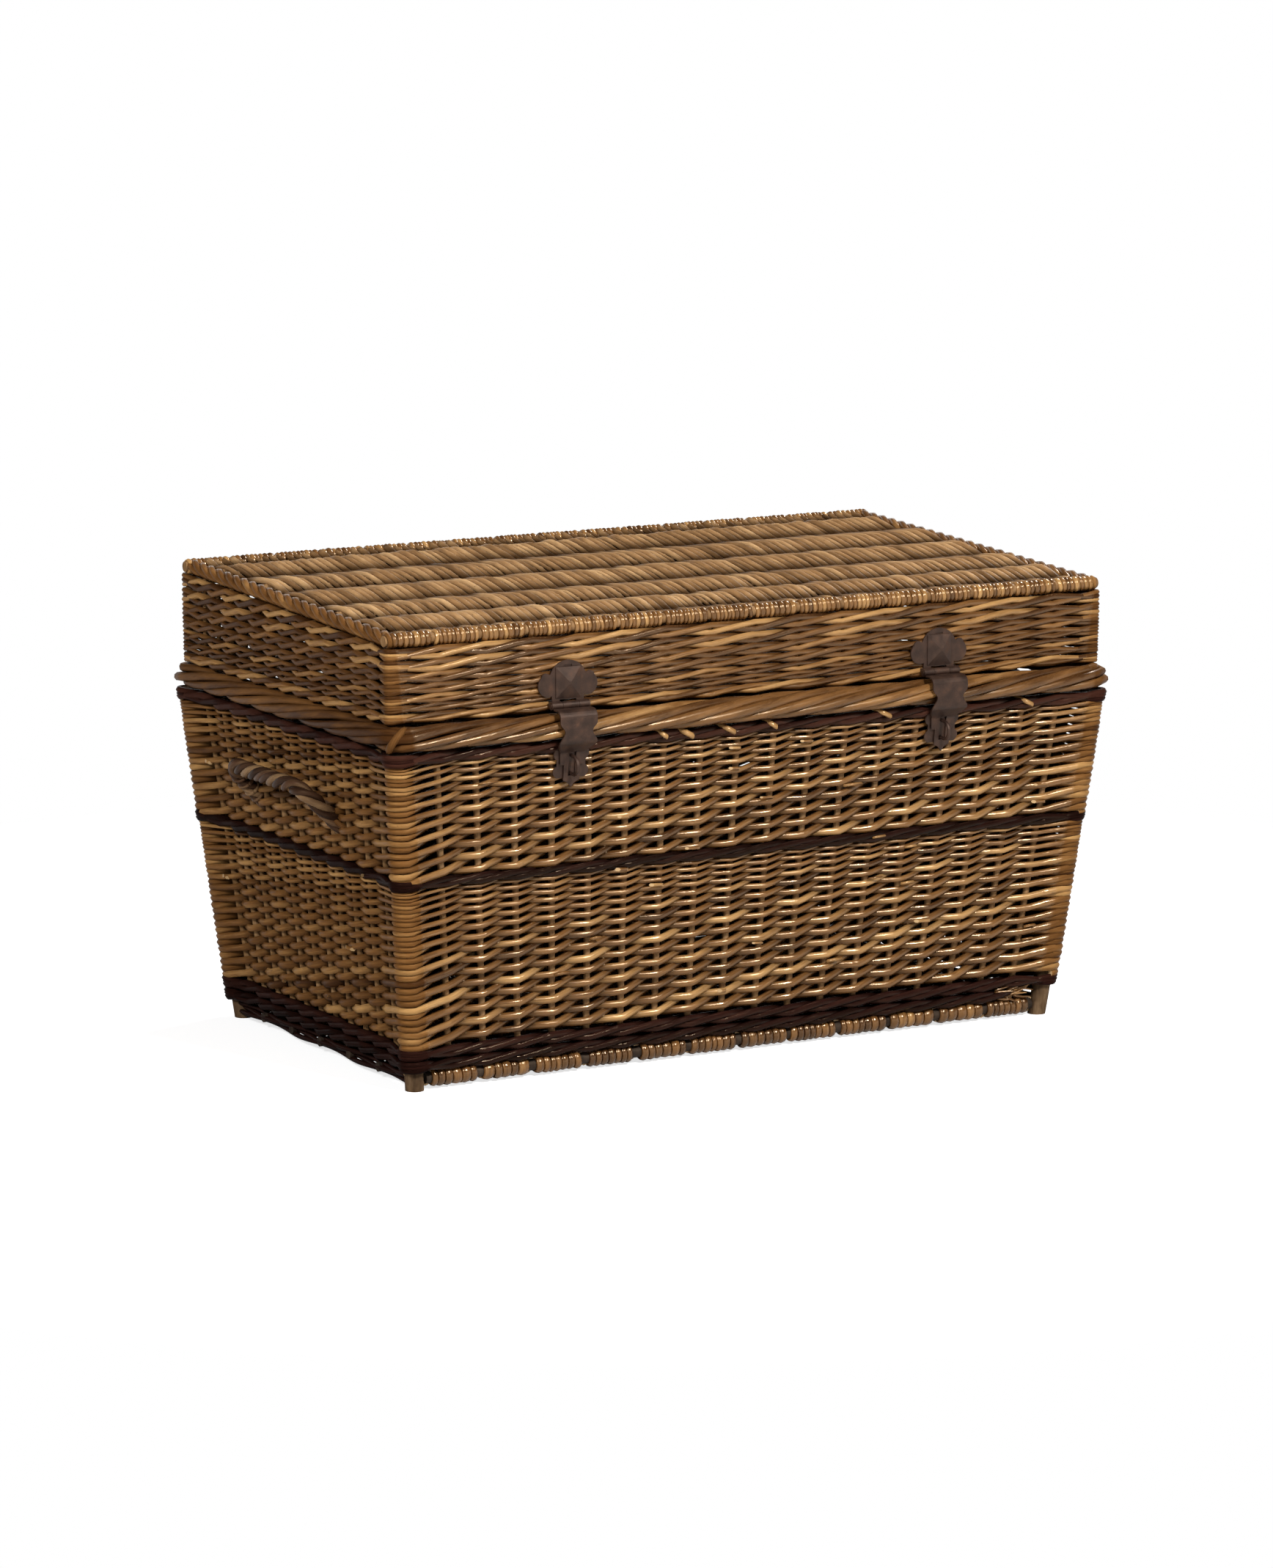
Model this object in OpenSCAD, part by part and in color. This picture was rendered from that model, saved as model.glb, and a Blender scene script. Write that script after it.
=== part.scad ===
// Willow laundry hamper with a hinged lid, two iron hasps and two roped handles.
// Millimetres. X runs along the front, Y to the back, Z up, the feet stand on Z = 0.

/* [Body] */
// Length at the floor, between corner-post centres
foot_len = 817; // [760:1:860]
// Depth at the floor, between corner-post centres
foot_dep = 436; // [400:1:480]
// Length under the border, between corner-post centres
rim_len = 900; // [870:1:930]
// Depth under the border, between corner-post centres
rim_dep = 527; // [500:1:550]
// Height of the wall, up to the underside of the border
wall_h = 386; // [370:1:400]
// Thickness of a corner post
post_d = 21; // [18:0.5:23]
// Thickness of a wall stake
stake_d = 7.5; // [5:0.5:8]
// Stakes in the front wall, and in the back wall
long_stakes = 18; // [16:1:20]
// Stakes in each end wall
end_stakes = 11; // [10:1:12]

/* [Weave] */
// How far the weave stands out of the plane of the stakes, on each side
weave_out = 8.5; // [8:0.1:9]
// How far a wale stands out of the plane of the stakes, on each side
wale_out = 9.2; // [9:0.1:9.3]
// Height at which the bottom wale ends
bottom_wale_top = 50; // [45:1:60]
// Height at which the middle wale begins
mid_wale_z = 232; // [220:1:240]
// Height of the middle wale
mid_wale_h = 12; // [10:1:16]
// Height of the top wale
top_wale_h = 14; // [12:1:15]
// Rows of randing below the middle wale
lower_rows = 18; // [14:1:22]
// Rows of randing above the middle wale
upper_rows = 13; // [10:1:16]

/* [Base] */
// Thickness of the woven base, wraps and all
base_t = 16.5; // [15:0.5:18]
// Height of the underside of the base above the floor
base_lift = 5; // [3:1:8]
// Thickness of the stick at the front and back edge of the base
base_rail_d = 13.4; // [12:0.1:14]
// Thickness of a stick inside the base
base_stick_d = 11; // [8:0.5:12]
// Sticks inside the base
base_stick_n = 5; // [3:1:7]

/* [Border] */
// How far the border stands outside the post centres at each end
border_over_end = 19; // [17:0.5:21]
// How far the border stands outside the post centres at the front and back
border_over_long = 23.5; // [22:0.5:25]
// Width of the border along the front and back
border_w_long = 37; // [34:1:40]
// Width of the border along the ends
border_w_end = 30; // [28:1:32]
// Height of the border
border_h = 30.8; // [28:0.1:32]
// Thickness of one strand of the border
strand_d = 11; // [10.5:0.1:12]

/* [Lid] */
// How far the lid lies inside the border's outer edge at each end
lid_in_end = 8.5; // [7:0.5:10]
// How far the lid lies inside the border's outer edge at the front and back
lid_in_long = 24.5; // [23:0.5:25]
// Height of the lid's front, from its lower edge to its top
lid_front_h = 101.1; // [90:0.1:115]
// How much higher the lid's back edge is
lid_rise = 20.5; // [0:0.5:40]
// Thickness of the lid's side walls
lid_wall_t = 14; // [14:0.5:16]
// Thickness of the wrapped rolls along the lid's front and back edges
lid_roll_d = 20; // [19:0.5:21]
// Thickness of the plaits along the lid's end edges
lid_plait_d = 18; // [16:0.5:20]
// Thickness of a stick inside the lid's top
lid_stick_d = 9; // [8:0.5:10]
// Thickness of the lid's woven top where it swells over a stick
lid_swell_t = 19; // [18:0.5:20]
// Thickness of the lid's woven top midway between two sticks
lid_weave_t = 7; // [6:0.5:9]
// Places of the lid's inner sticks, as shares of its depth from its middle
lid_stick_at = [-0.3464, -0.196, -0.0095, 0.1599, 0.3616];
// Stakes in the lid's front wall, and in its back wall
lid_long_stakes = 15; // [13:2:17]
// Stakes in each of the lid's end walls
lid_end_stakes = 13; // [11:1:15]

/* [Ironwork] */
// Place of each hasp and each hinge, as a share of half the length under the border
iron_share = 0.5333; // [0.525:0.0001:0.54]
// Thickness of the sheet iron
sheet_t = 1.8; // [1.5:0.1:2]
// Outside diameter of a hinge knuckle
knuckle_d = 8.8; // [8:0.1:9]
// Diameter of a hinge pin
pin_d = 3.6; // [3:0.1:4]
// Length of a whole hinge, along its pin
hinge_w = 47; // [40:1:50]
// Width of the middle knuckle
tongue_w = 20; // [16:1:22]
// Thickness of the staple wire
wire_d = 4; // [3:0.5:4]
// Distance between a staple's two legs
staple_h = 20; // [18:1:20]

/* [Handles] */
// Thickness of a roped handle
handle_d = 20; // [16:1:22]
// Distance between a handle's two legs
handle_span = 196; // [190:1:200]
// How far below the border the handle's legs enter the wall
handle_drop = 106; // [96:1:116]
// How far the bow stands off the wall, measured along its tilt
handle_reach = 62; // [56:1:66]
// Tilt of the bow above the level
handle_tilt = 46; // [36:1:52]

/* [Hidden] */
$fn = 48;
// Gap between pieces that lie against each other
touch = 0.1;
// Radial clearance of a stake, leg or nail in the hole that it passes through
hole_gap = 0.1;
// Radial clearance of a hinge pin in its knuckles
pin_gap = 0.05;
// Gap between neighbouring knuckles, and between the lid and the border
run_gap = 0.4;
WILLOW = [0.59, 0.41, 0.24];
PALE = [0.68, 0.54, 0.37];
DARK = [0.16, 0.10, 0.09];
IRON = [0.24, 0.19, 0.17];
// Walls are numbered 0 front, 1 right, 2 back, 3 left
FRONT = 0;
RIGHT = 1;
BACK = 2;
LEFT = 3;
ENDS = [-1, 1];

border_len = rim_len + 2 * border_over_end;
border_dep = rim_dep + 2 * border_over_long;
lid_len = border_len - 2 * lid_in_end;
lid_dep = border_dep - 2 * lid_in_long;
iron_x = iron_share * rim_len / 2;
handle_z = wall_h - handle_drop;
// Longer than anything in the hamper: the size of blocks that only cut
big = 2 * border_len;

// Corner posts, wraps and wale rings
post_wrap_r = post_d / 2 + 4;
ring_r = post_d / 2 + 5;
base_top = base_lift + base_t;
base_mid = base_lift + base_t / 2;
wale_z = base_top + 0.2;
top_wale_z = wall_h - top_wale_h;
mid_wale_end = mid_wale_z + mid_wale_h;

// Border and lid
border_z = wall_h + 0.2;
border_top = border_z + border_h;
lid_z = border_top + run_gap;
lid_front_z = lid_z + lid_front_h;
lid_slope = atan(lid_rise / lid_dep);
lid_edge_h = 12;
lid_edge_w = 16;
lid_run = lid_dep / cos(lid_slope);
lid_post_d = 8;
lid_ring_r = lid_wall_t / 2;
roll_r = lid_roll_d / 2;
plait_r = lid_plait_d / 2;
// Depth of the middle of the woven top below the lid's top face
panel_mid = 8.5;

// Hinge axes: the same distance outside the lid at the front and at the back
axis_out = 6;
axis_z = lid_z + 7.1;
axis_y = lid_dep / 2 + axis_out;
knuckle_r = knuckle_d / 2;
plate_y = lid_dep / 2 + touch;
staple_z = wall_h - 26;
// How far a staple's straight legs stand out of the plane of the stakes
loop_out = 17;
nail_z = [wall_h - 43, wall_h - 26];
tang_z = [axis_z + 15.5, axis_z + 43.5];

// ---- Walls that lean -------------------------------------------------------

function is_end(k) = k % 2 == 1;
// Half the distance between two opposite walls, at height z
function half_gap(k, z) = (is_end(k)
    ? foot_len + (rim_len - foot_len) * z / wall_h
    : foot_dep + (rim_dep - foot_dep) * z / wall_h) / 2;
// Half the length of a wall, at height z
function half_run(k, z) = half_gap(k + 1, z);
function lean(k) = atan((half_gap(k, wall_h) - half_gap(k, 0)) / wall_h);
// Distance up the leaning wall for a height above the floor
function up(k, z) = z / cos(lean(k));
function stake_n(k) = is_end(k) ? end_stakes : long_stakes;

// Stands its children on wall k: X along the wall, -Y outward, Z up the wall
module on_wall(k) {
    rotate(90 * k) translate([0, -half_gap(k, 0), 0]) rotate([lean(k), 0, 0]) children();
}

// A straight rod from a to b, turned by 'spin' about its own length
module rod(a, b, d, spin = 0) {
    v = b - a;
    translate(a) rotate([0, acos(v[2] / norm(v)), atan2(v[1], v[0])]) rotate(spin)
        cylinder(h = norm(v), d = d);
}

// A level slice of the world, from z0 to z1
module slice(z0, z1) {
    translate([-big / 2, -big / 2, z0]) cube([big, big, z1 - z0]);
}

// Rods laid along X one above another, joined by a flat core: a straight bundle of willow
module rows(len, z0, z1, n, out, core) {
    pitch = (z1 - z0) / (n + 0.06);
    r = pitch * 0.53;
    for (i = [0 : n - 1], side = ENDS) {
        translate([-len / 2, side * (out - r), z0 + r + i * (z1 - z0 - 2 * r) / max(n - 1, 1)])
            rotate([0, 90, 0]) cylinder(h = len, r = r);
    }
    translate([-len / 2, -core, z0]) cube([len, 2 * core, z1 - z0]);
}

// The trapezoid of wall k between two heights, cut short by 'short' at each post
module wall_outline(k, z0, z1, short) {
    rotate([90, 0, 0]) linear_extrude(60, center = true) polygon([
        [-half_run(k, z0) + short, up(k, z0)], [half_run(k, z0) - short, up(k, z0)],
        [half_run(k, z1) - short, up(k, z1)], [-half_run(k, z1) + short, up(k, z1)]]);
}

// The stakes of wall k, which fan out as the wall widens
module stake_rods(k, z0, z1, d) {
    n = stake_n(k);
    for (i = [1 : n]) {
        s = 2 * i / (n + 1) - 1;
        rod([s * half_run(k, z0), 0, up(k, z0)], [s * half_run(k, z1), 0, up(k, z1)], d);
    }
}

// One band of weave on wall k, with a hole for every stake
module band(k, z0, z1, n, out, ring) {
    difference() {
        on_wall(k) intersection() {
            rows(2 * half_run(k, wall_h), up(k, z0), up(k, z1), n, out, out - 2.6);
            wall_outline(k, z0, z1, ring * 1.01 + touch);
        }
        on_wall(k) stake_rods(k, 0, wall_h + 20, stake_d + 2 * hole_gap);
        if (k == LEFT || k == RIGHT) handle_legs(k, hole_gap);
        if (k == FRONT) staple_legs(hole_gap);
        if (k == BACK) nail_shanks(hole_gap);
    }
}

// Leaning tubes or rods at the four corners
module at_posts(d, z0, z1) {
    low = -30;
    high = wall_h + 30;
    for (sx = ENDS, sy = ENDS) intersection() {
        rod([sx * half_gap(RIGHT, low), sy * half_gap(FRONT, low), low],
            [sx * half_gap(RIGHT, high), sy * half_gap(FRONT, high), high], d, 45);
        slice(z0, z1);
    }
}

module post_tubes(r, z0, z1) {
    difference() {
        at_posts(2 * r, z0, z1);
        at_posts(post_d + 2 * touch, z0 - 1, z1 + 1);
    }
}

// A wale: four straight sides and a loop round each post
module wale(z0, z1, n) {
    for (k = [FRONT : LEFT]) {
        intersection() {
            band(k, z0, z1, n, wale_out, ring_r);
            slice(max(z0 - 5, wale_z), wall_h);
        }
    }
    post_tubes(ring_r, z0 + touch, z1 - touch);
}

// ---- Body ------------------------------------------------------------------

module corner_posts() {
    color(WILLOW) at_posts(post_d, 0, wall_h);
}

module corner_wraps() {
    color(WILLOW) {
        post_tubes(post_wrap_r, bottom_wale_top, mid_wale_z);
        post_tubes(post_wrap_r, mid_wale_end, top_wale_z);
    }
}

module stakes(k) {
    color(PALE) on_wall(k) stake_rods(k, wale_z + 0.6, wall_h - 0.6, stake_d);
}

module lower_weave(k) {
    color(WILLOW) band(k, bottom_wale_top, mid_wale_z, lower_rows, weave_out, post_wrap_r);
}

module upper_weave(k) {
    color(WILLOW) band(k, mid_wale_end, top_wale_z, upper_rows, weave_out, post_wrap_r);
}

module bottom_wale() {
    color(DARK) wale(wale_z, bottom_wale_top, 4);
}

module middle_wale() {
    color(DARK) wale(mid_wale_z, mid_wale_end, 2);
}

module top_wale() {
    color(DARK) wale(top_wale_z, wall_h, 2);
}

// One mitred side of the rolled border, a bundle of strands
module border_side(k) {
    long = !is_end(k);
    w = long ? border_w_long : border_w_end;
    out = (long ? border_dep : border_len) / 2;
    run = (long ? border_len : border_dep) / 2;
    other = long ? border_w_end : border_w_long;
    cols = long ? 4 : 3;
    step_w = (w - strand_d) / (cols - 1);
    step_h = (border_h - strand_d) / 2;
    color(WILLOW) rotate(90 * k) intersection() {
        union() {
            for (i = [0 : cols - 1], j = [0 : 2]) {
                translate([-run, -out + strand_d / 2 + i * step_w, border_z + strand_d / 2 + j * step_h])
                    rotate([0, 90, 0]) cylinder(h = 2 * run, d = strand_d);
            }
            translate([-run, -out + strand_d / 2, border_z + strand_d / 2])
                cube([2 * run, w - strand_d, border_h - strand_d]);
        }
        translate([0, 0, border_z - 1]) mitre(run - touch / 2, out, w, other, border_h + 2);
        translate([0, 0, border_z - 1]) round_plan(run, out, 24, border_h + 2);
    }
}

// An upright prism that cuts one side of a frame, w wide, to meet sides that are 'other' wide
module mitre(run, out, w, other, h) {
    linear_extrude(h) polygon([
        [-run, -out], [run, -out], [run - other, -out + w], [-run + other, -out + w]]);
}

// An upright block with round corners, 2*hx by 2*hy
module round_plan(hx, hy, r, h) {
    for (sx = ENDS, sy = ENDS) translate([sx * (hx - r), sy * (hy - r), 0]) cylinder(h = h, r = r);
    translate([-hx + r, -hy, 0]) cube([2 * (hx - r), 2 * hy, h]);
    translate([-hx, -hy + r, 0]) cube([2 * hx, 2 * (hy - r), h]);
}

// ---- Base ------------------------------------------------------------------

rail_y = half_gap(FRONT, base_mid);
rail_half = half_gap(RIGHT, 0) - post_d / 2 - 0.6;

module base_rails() {
    color(DARK) for (sy = ENDS) {
        rod([-rail_half, sy * rail_y, base_mid], [rail_half, sy * rail_y, base_mid], base_rail_d);
    }
}

// Groups of weavers that turn round each rail
module base_rail_wraps() {
    groups = 12;
    step = 2 * rail_half / groups;
    color(WILLOW) for (sy = ENDS, i = [0 : groups - 1]) {
        x0 = -rail_half + (i + 0.12) * step;
        difference() {
            rod([x0, sy * rail_y, base_mid], [x0 + 0.76 * step, sy * rail_y, base_mid], base_t);
            rod([x0 - 1, sy * rail_y, base_mid], [x0 + step, sy * rail_y, base_mid],
                base_rail_d + 2 * touch);
        }
    }
}

base_half_x = half_gap(RIGHT, base_mid) + 6;
base_half_y = rail_y - base_t / 2 - touch;

module base_stick_rods(d, half) {
    for (i = [1 : base_stick_n]) {
        y = (2 * i / (base_stick_n + 1) - 1) * rail_y;
        rod([-half, y, base_mid], [half, y, base_mid], d);
    }
}

module base_sticks() {
    color(DARK) base_stick_rods(base_stick_d, base_half_x + 2);
}

module base_weave() {
    color(WILLOW) difference() {
        translate([-base_half_x, -base_half_y, base_lift])
            cube([2 * base_half_x, 2 * base_half_y, base_t]);
        base_stick_rods(base_stick_d + 2 * touch, base_half_x + 5);
        at_posts(post_d + 0.4, 0, base_top + 5);
    }
}

// ---- Handles ---------------------------------------------------------------

leg_d = 14;
bend_r = 30;

// Straight legs, which pass through the end wall beside a stake
module handle_legs(k, gap) {
    on_wall(k) for (side = ENDS) {
        translate([side * handle_span / 2, weave_out + 4, up(k, handle_z)])
            rotate([90, 0, 0]) cylinder(h = 2 * weave_out + 8, d = leg_d + 2 * gap);
    }
}

// The bow in the XY plane, opening towards -Y: two legs, two bends and a grip
module bow() {
    half = handle_span / 2;
    for (side = ENDS) {
        rod([side * half, 12, 0], [side * half, -handle_reach + bend_r, 0], handle_d);
        translate([side * (half - bend_r), -handle_reach + bend_r, 0])
            rotate(side > 0 ? -90 : 180) rotate_extrude(angle = 90) translate([bend_r, 0])
                circle(d = handle_d);
    }
    rod([-half + bend_r, -handle_reach, 0], [half - bend_r, -handle_reach, 0], handle_d);
}

module handle(k) {
    color(DARK) {
        difference() {
            rotate(90 * k) translate([0, -half_gap(k, handle_z), handle_z])
                rotate([-handle_tilt, 0, 0]) bow();
            on_wall(k) translate([-big / 2, -weave_out - touch, 0]) cube([big, 100, big]);
        }
        handle_legs(k, 0);
    }
}

// ---- Ironwork --------------------------------------------------------------

// Its children at both hasps (front) or both hinges (back)
module at_pair(k) {
    for (side = ENDS) rotate(90 * k) translate([side * iron_x, 0, 0]) children();
}

// A straight shank through the front or back wall, square to the wall
module shank(k, z, out, inside, d) {
    rotate([lean(k), 0, 0]) translate([0, -out, up(k, z)])
        rotate([-90, 0, 0]) cylinder(h = out + inside, d = d);
}

module staple_legs(gap) {
    at_pair(FRONT) translate([0, -half_gap(FRONT, 0), 0]) for (s = ENDS)
        shank(FRONT, staple_z + s * staple_h / 2 * cos(lean(FRONT)),
            loop_out, weave_out + 3, wire_d + 2 * gap);
}

module staples() {
    color(IRON) {
        staple_legs(0);
        at_pair(FRONT) translate([0, -half_gap(FRONT, 0), 0]) rotate([lean(FRONT), 0, 0])
            translate([0, 0, up(FRONT, staple_z)]) {
                translate([0, -loop_out, 0]) rotate([90, 0, -90]) rotate(-90) rotate_extrude(angle = 180)
                    translate([staple_h / 2, 0]) circle(d = wire_d);
                for (s = ENDS) translate([0, weave_out + 2, s * staple_h / 2 + (s > 0 ? -1 : -10)])
                    cylinder(h = 11, d = wire_d - 0.8);
            }
    }
}

module staple_plates() {
    color(IRON) difference() {
        at_pair(FRONT) translate([0, -half_gap(FRONT, 0), 0]) rotate([lean(FRONT), 0, 0])
            translate([0, -wale_out - touch, up(FRONT, staple_z + 2)]) rotate([90, 0, 0]) {
                linear_extrude(1.3) {
                    square([36, 34], center = true);
                    for (sx = ENDS, sy = ENDS) translate([sx * 15, sy * 10]) circle(r = 7);
                }
            }
        staple_legs(hole_gap);
    }
}

// Points of an arc round c, from angle a to angle b
function arc(c, r, a, b, n = 6) = [for (i = [0 : n])
    c + r * [cos(a + (b - a) * i / n), sin(a + (b - a) * i / n)]];
// A path thickened by t: its points pushed to both sides along its normal
function normal_at(p, i) = let (d = p[min(i + 1, len(p) - 1)] - p[max(i - 1, 0)]) [-d[1], d[0]] / norm(d);
function ribbon(p, t) = concat(
    [for (i = [0 : len(p) - 1]) p[i] + normal_at(p, i) * t / 2],
    [for (i = [len(p) - 1 : -1 : 0]) p[i] - normal_at(p, i) * t / 2]);
// An eased step from a to b
function ease(a, b, t) = a + (b - a) * (1 - cos(180 * t)) / 2;

strap_tip_z = wall_h - 53;
strap_reach = border_dep / 2 + 2.5;
strap_bend = 8.5;
foot_bend = 8;
foot_turn = 52;

// Side view of a strap, as [distance outward, height]: out over the border, down, and in to the wall
function wall_at(z, off) = [half_gap(FRONT, z) + off / cos(lean(FRONT)), z];
function strap_path(off) = let (
    top = axis_z - knuckle_r + sheet_t / 2,
    knee = [strap_reach - foot_bend, wall_h + 4],
    leaf = wall_at(wall_h - 14, off),
    end = wall_at(strap_tip_z, off)) concat(
        [[axis_y, top]],
        arc([strap_reach - strap_bend, top - strap_bend], strap_bend, 90, 0),
        arc(knee, foot_bend, 0, -foot_turn),
        [leaf + [0.6, 1.2], leaf - [0.3, 1.4], end]);

// Front view of a strap: half its width at each height
strap_steps = [[axis_z, 23], [wall_h + 22, 23], [wall_h + 12, 17], [wall_h - 1, 23.2],
    [wall_h - 15, 15.5], [wall_h - 31, 14.8], [wall_h - 40, 16.6], [wall_h - 50, 2.5]];
function strap_half() = [for (i = [0 : len(strap_steps) - 2], t = [0 : 0.125 : 0.875])
    let (a = strap_steps[i], b = strap_steps[i + 1])
        [ease(a[1], b[1], t), a[0] + (b[0] - a[0]) * t]];
function mirrored(p) = [for (i = [len(p) - 1 : -1 : 0]) [-p[i][0], p[i][1]]];

// A strap with its middle knuckle: 'off' is how far its leaf lies outside the plane of the stakes
module strap(off) {
    difference() {
        union() {
            intersection() {
                rotate([90, 0, -90]) linear_extrude(60, center = true)
                    polygon(ribbon(strap_path(off), sheet_t));
                rotate([90, 0, 0]) linear_extrude(big)
                    polygon(concat(strap_half(), [[0, strap_tip_z]], mirrored(strap_half())));
                union() {
                    translate([-30, -big, 0]) cube([60, big - axis_y - knuckle_r - run_gap, big]);
                    translate([-tongue_w / 2, -big, 0]) cube([tongue_w, big, big]);
                }
            }
            translate([-tongue_w / 2, -axis_y, axis_z]) rotate([0, 90, 0])
                cylinder(h = tongue_w, r = knuckle_r);
        }
        translate([-30, -axis_y, axis_z]) rotate([0, 90, 0]) cylinder(h = 60, d = pin_d + 2 * pin_gap);
    }
}

// The slot that drops over the staple
module slot() {
    translate([-4.5, -big, staple_z - 13.5]) cube([9, big, 27]);
}

module hasp(side) {
    color(IRON) translate([side * iron_x, 0, 0]) difference() {
        strap(11.2 + sheet_t / 2);
        slot();
    }
}

module hinge_straps() {
    color(IRON) difference() {
        at_pair(BACK) strap(wale_out + touch + sheet_t / 2);
        nail_shanks(hole_gap);
    }
}

module nail_shanks(gap) {
    at_pair(BACK) translate([0, -half_gap(BACK, 0), 0]) for (z = nail_z)
        shank(BACK, z, wale_out + sheet_t + touch + 0.6, weave_out + 3, 3 + 2 * gap);
}

module hinge_nails() {
    color(IRON) {
        nail_shanks(0);
        at_pair(BACK) translate([0, -half_gap(BACK, 0), 0]) rotate([lean(BACK), 0, 0])
            for (z = nail_z) {
                translate([0, -wale_out - sheet_t - 2 * touch, up(BACK, z)]) rotate([90, 0, 0])
                    cylinder(h = 1.6, d = 8);
                translate([0, weave_out + 1.8, up(BACK, z) - 0.7]) cylinder(h = 9, d = 2.4);
            }
    }
}

// Three lobes and a neck, as the plates on the lid are cut
module trefoil() {
    lobe = 24.5;
    translate([0, axis_z + 26]) circle(r = 23.5);
    for (side = ENDS) {
        translate([side * lobe, axis_z + 22]) circle(r = 12.5);
        translate([side * (lobe + 3), axis_z + 30.5]) circle(r = 5.5);
    }
    translate([-20, axis_z - 2]) square([40, 34]);
}

// Tangs behind a plate, through the lid wall and bent over inside it
module tangs(gap) {
    for (z = tang_z) translate([0, -plate_y - 0.5, z]) rotate([-90, 0, 0])
        cylinder(h = lid_wall_t + 4, d = 3 + 2 * gap);
}

module lid_plate(boss) {
    difference() {
        union() {
            translate([0, -plate_y, 0]) rotate([90, 0, 0]) linear_extrude(sheet_t) difference() {
                trefoil();
                translate([-tongue_w / 2 - run_gap, axis_z - 5]) square([tongue_w + 2 * run_gap, 11]);
            }
            for (side = ENDS) {
                x0 = side > 0 ? tongue_w / 2 + run_gap : -hinge_w / 2;
                translate([x0, -axis_y, axis_z]) rotate([0, 90, 0])
                    cylinder(h = (hinge_w - tongue_w) / 2 - run_gap, r = knuckle_r);
                translate([x0, -axis_y, axis_z])
                    cube([(hinge_w - tongue_w) / 2 - run_gap, axis_y - plate_y, knuckle_r]);
            }
            if (boss) pyramid();
            tangs(0);
            for (z = tang_z) translate([0, -lid_dep / 2 + lid_wall_t + 2, z - 1]) cylinder(h = 9, d = 3);
        }
        translate([-30, -axis_y, axis_z]) rotate([0, 90, 0]) cylinder(h = 60, d = pin_d + 2 * pin_gap);
        if (boss) tab_slot();
    }
}

// The raised boss: a low edge, four sloping faces and a small flat top
boss_low = 7.5;
boss_high = 42;
boss_half = 15.5;
boss_out = 6;
module pyramid() {
    y = -plate_y - sheet_t;
    mid = (boss_low + boss_high) / 2;
    intersection() {
        rotate([90, 0, 90]) linear_extrude(40, center = true)
            polygon([for (p = [[1, boss_low], [-1, boss_low], [-boss_out, mid - 1.5],
                [-boss_out, mid + 1.5], [-1, boss_high], [1, boss_high]]) [y + p[0], axis_z + p[1]]]);
        linear_extrude(big) polygon([[-boss_half, y + 1], [-boss_half, y - 1], [-1.5, y - boss_out],
            [1.5, y - boss_out], [boss_half, y - 1], [boss_half, y + 1]]);
    }
}

// Narrow slot above the boss, where its tab is clinched through the plate
module tab_slot() {
    translate([-5, -plate_y - sheet_t - 1, axis_z + boss_high]) cube([10, 2.2, 2.2]);
}

module pins(k) {
    color(IRON) at_pair(k) translate([-hinge_w / 2 - 0.8, -axis_y, axis_z]) rotate([0, 90, 0]) {
        cylinder(h = hinge_w + 1.6, d = pin_d);
        cylinder(h = 0.7, d = pin_d + 2);
        translate([0, 0, hinge_w + 0.9]) cylinder(h = 0.7, d = pin_d + 2);
    }
}

module hasp_plates() {
    color(IRON) at_pair(FRONT) lid_plate(true);
}

module hinge_plates() {
    color(IRON) at_pair(BACK) lid_plate(false);
}

// ---- Lid -------------------------------------------------------------------

// The lid's top: its front outer edge is the origin, Y runs up the slope, Z is square to it
module on_top() {
    translate([0, -lid_dep / 2, lid_front_z]) rotate([lid_slope, 0, 0]) children();
}

// Everything more than 'depth' below the lid's top face
module under_top(depth) {
    on_top() translate([-big / 2, -big / 2, -big - depth]) cube([big, big, big]);
}

function lid_half(k) = (is_end(k) ? lid_len : lid_dep) / 2 - lid_wall_t / 2;
function lid_stake_n(k) = is_end(k) ? lid_end_stakes : lid_long_stakes;
lid_stake_d = 5.6;
rail_at = [roll_r, lid_run - roll_r];
plait_x = lid_len / 2 - plait_r;
panel_half = plait_x - plait_r - touch;

module rail_rods(d, half) {
    on_top() for (y = rail_at) rod([-half, y, -roll_r], [half, y, -roll_r], d);
}

module lid_rails() {
    color(PALE) rail_rods(lid_roll_d - 8, lid_len / 2);
}

// Fine wrapping round each rail, parted where a stake is turned up
module lid_rail_wraps() {
    groups = lid_long_stakes + 1;
    step = lid_len / groups;
    color(PALE) difference() {
        on_top() for (y = rail_at, i = [0 : groups - 1]) {
            x0 = -lid_len / 2 + i * step + 0.6;
            rod([x0, y, -roll_r], [x0 + step - 1.2, y, -roll_r], lid_roll_d);
        }
        rail_rods(lid_roll_d - 8 + 2 * touch, lid_len);
    }
}

module lid_stick_rods(d, half) {
    on_top() for (y = lid_stick_y) rod([-half, y, -panel_mid], [half, y, -panel_mid], d);
}

module lid_sticks() {
    color(PALE) lid_stick_rods(lid_stick_d, panel_half);
}

lid_stick_y = [for (share = lid_stick_at) (0.5 + share) * lid_run];
// Where the woven top is thickest: over the front rail, every stick and the back rail
crests = concat([rail_at[0]], lid_stick_y, [rail_at[1]]);
// Half the thickness of the woven top, t of the way from one crest to the next
function swell(t) = lid_swell_t / 2 - (lid_swell_t - lid_weave_t) / 2 * pow(1 - abs(2 * t - 1), 1.6);
swell_steps = [0 : 1 / 8 : 1];
// Places and half thicknesses of the woven top, from the front rail to the back rail
panel_line = [for (i = [0 : len(crests) - 2], t = swell_steps)
    [crests[i] + (crests[i + 1] - crests[i]) * t, swell(t)]];

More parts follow.
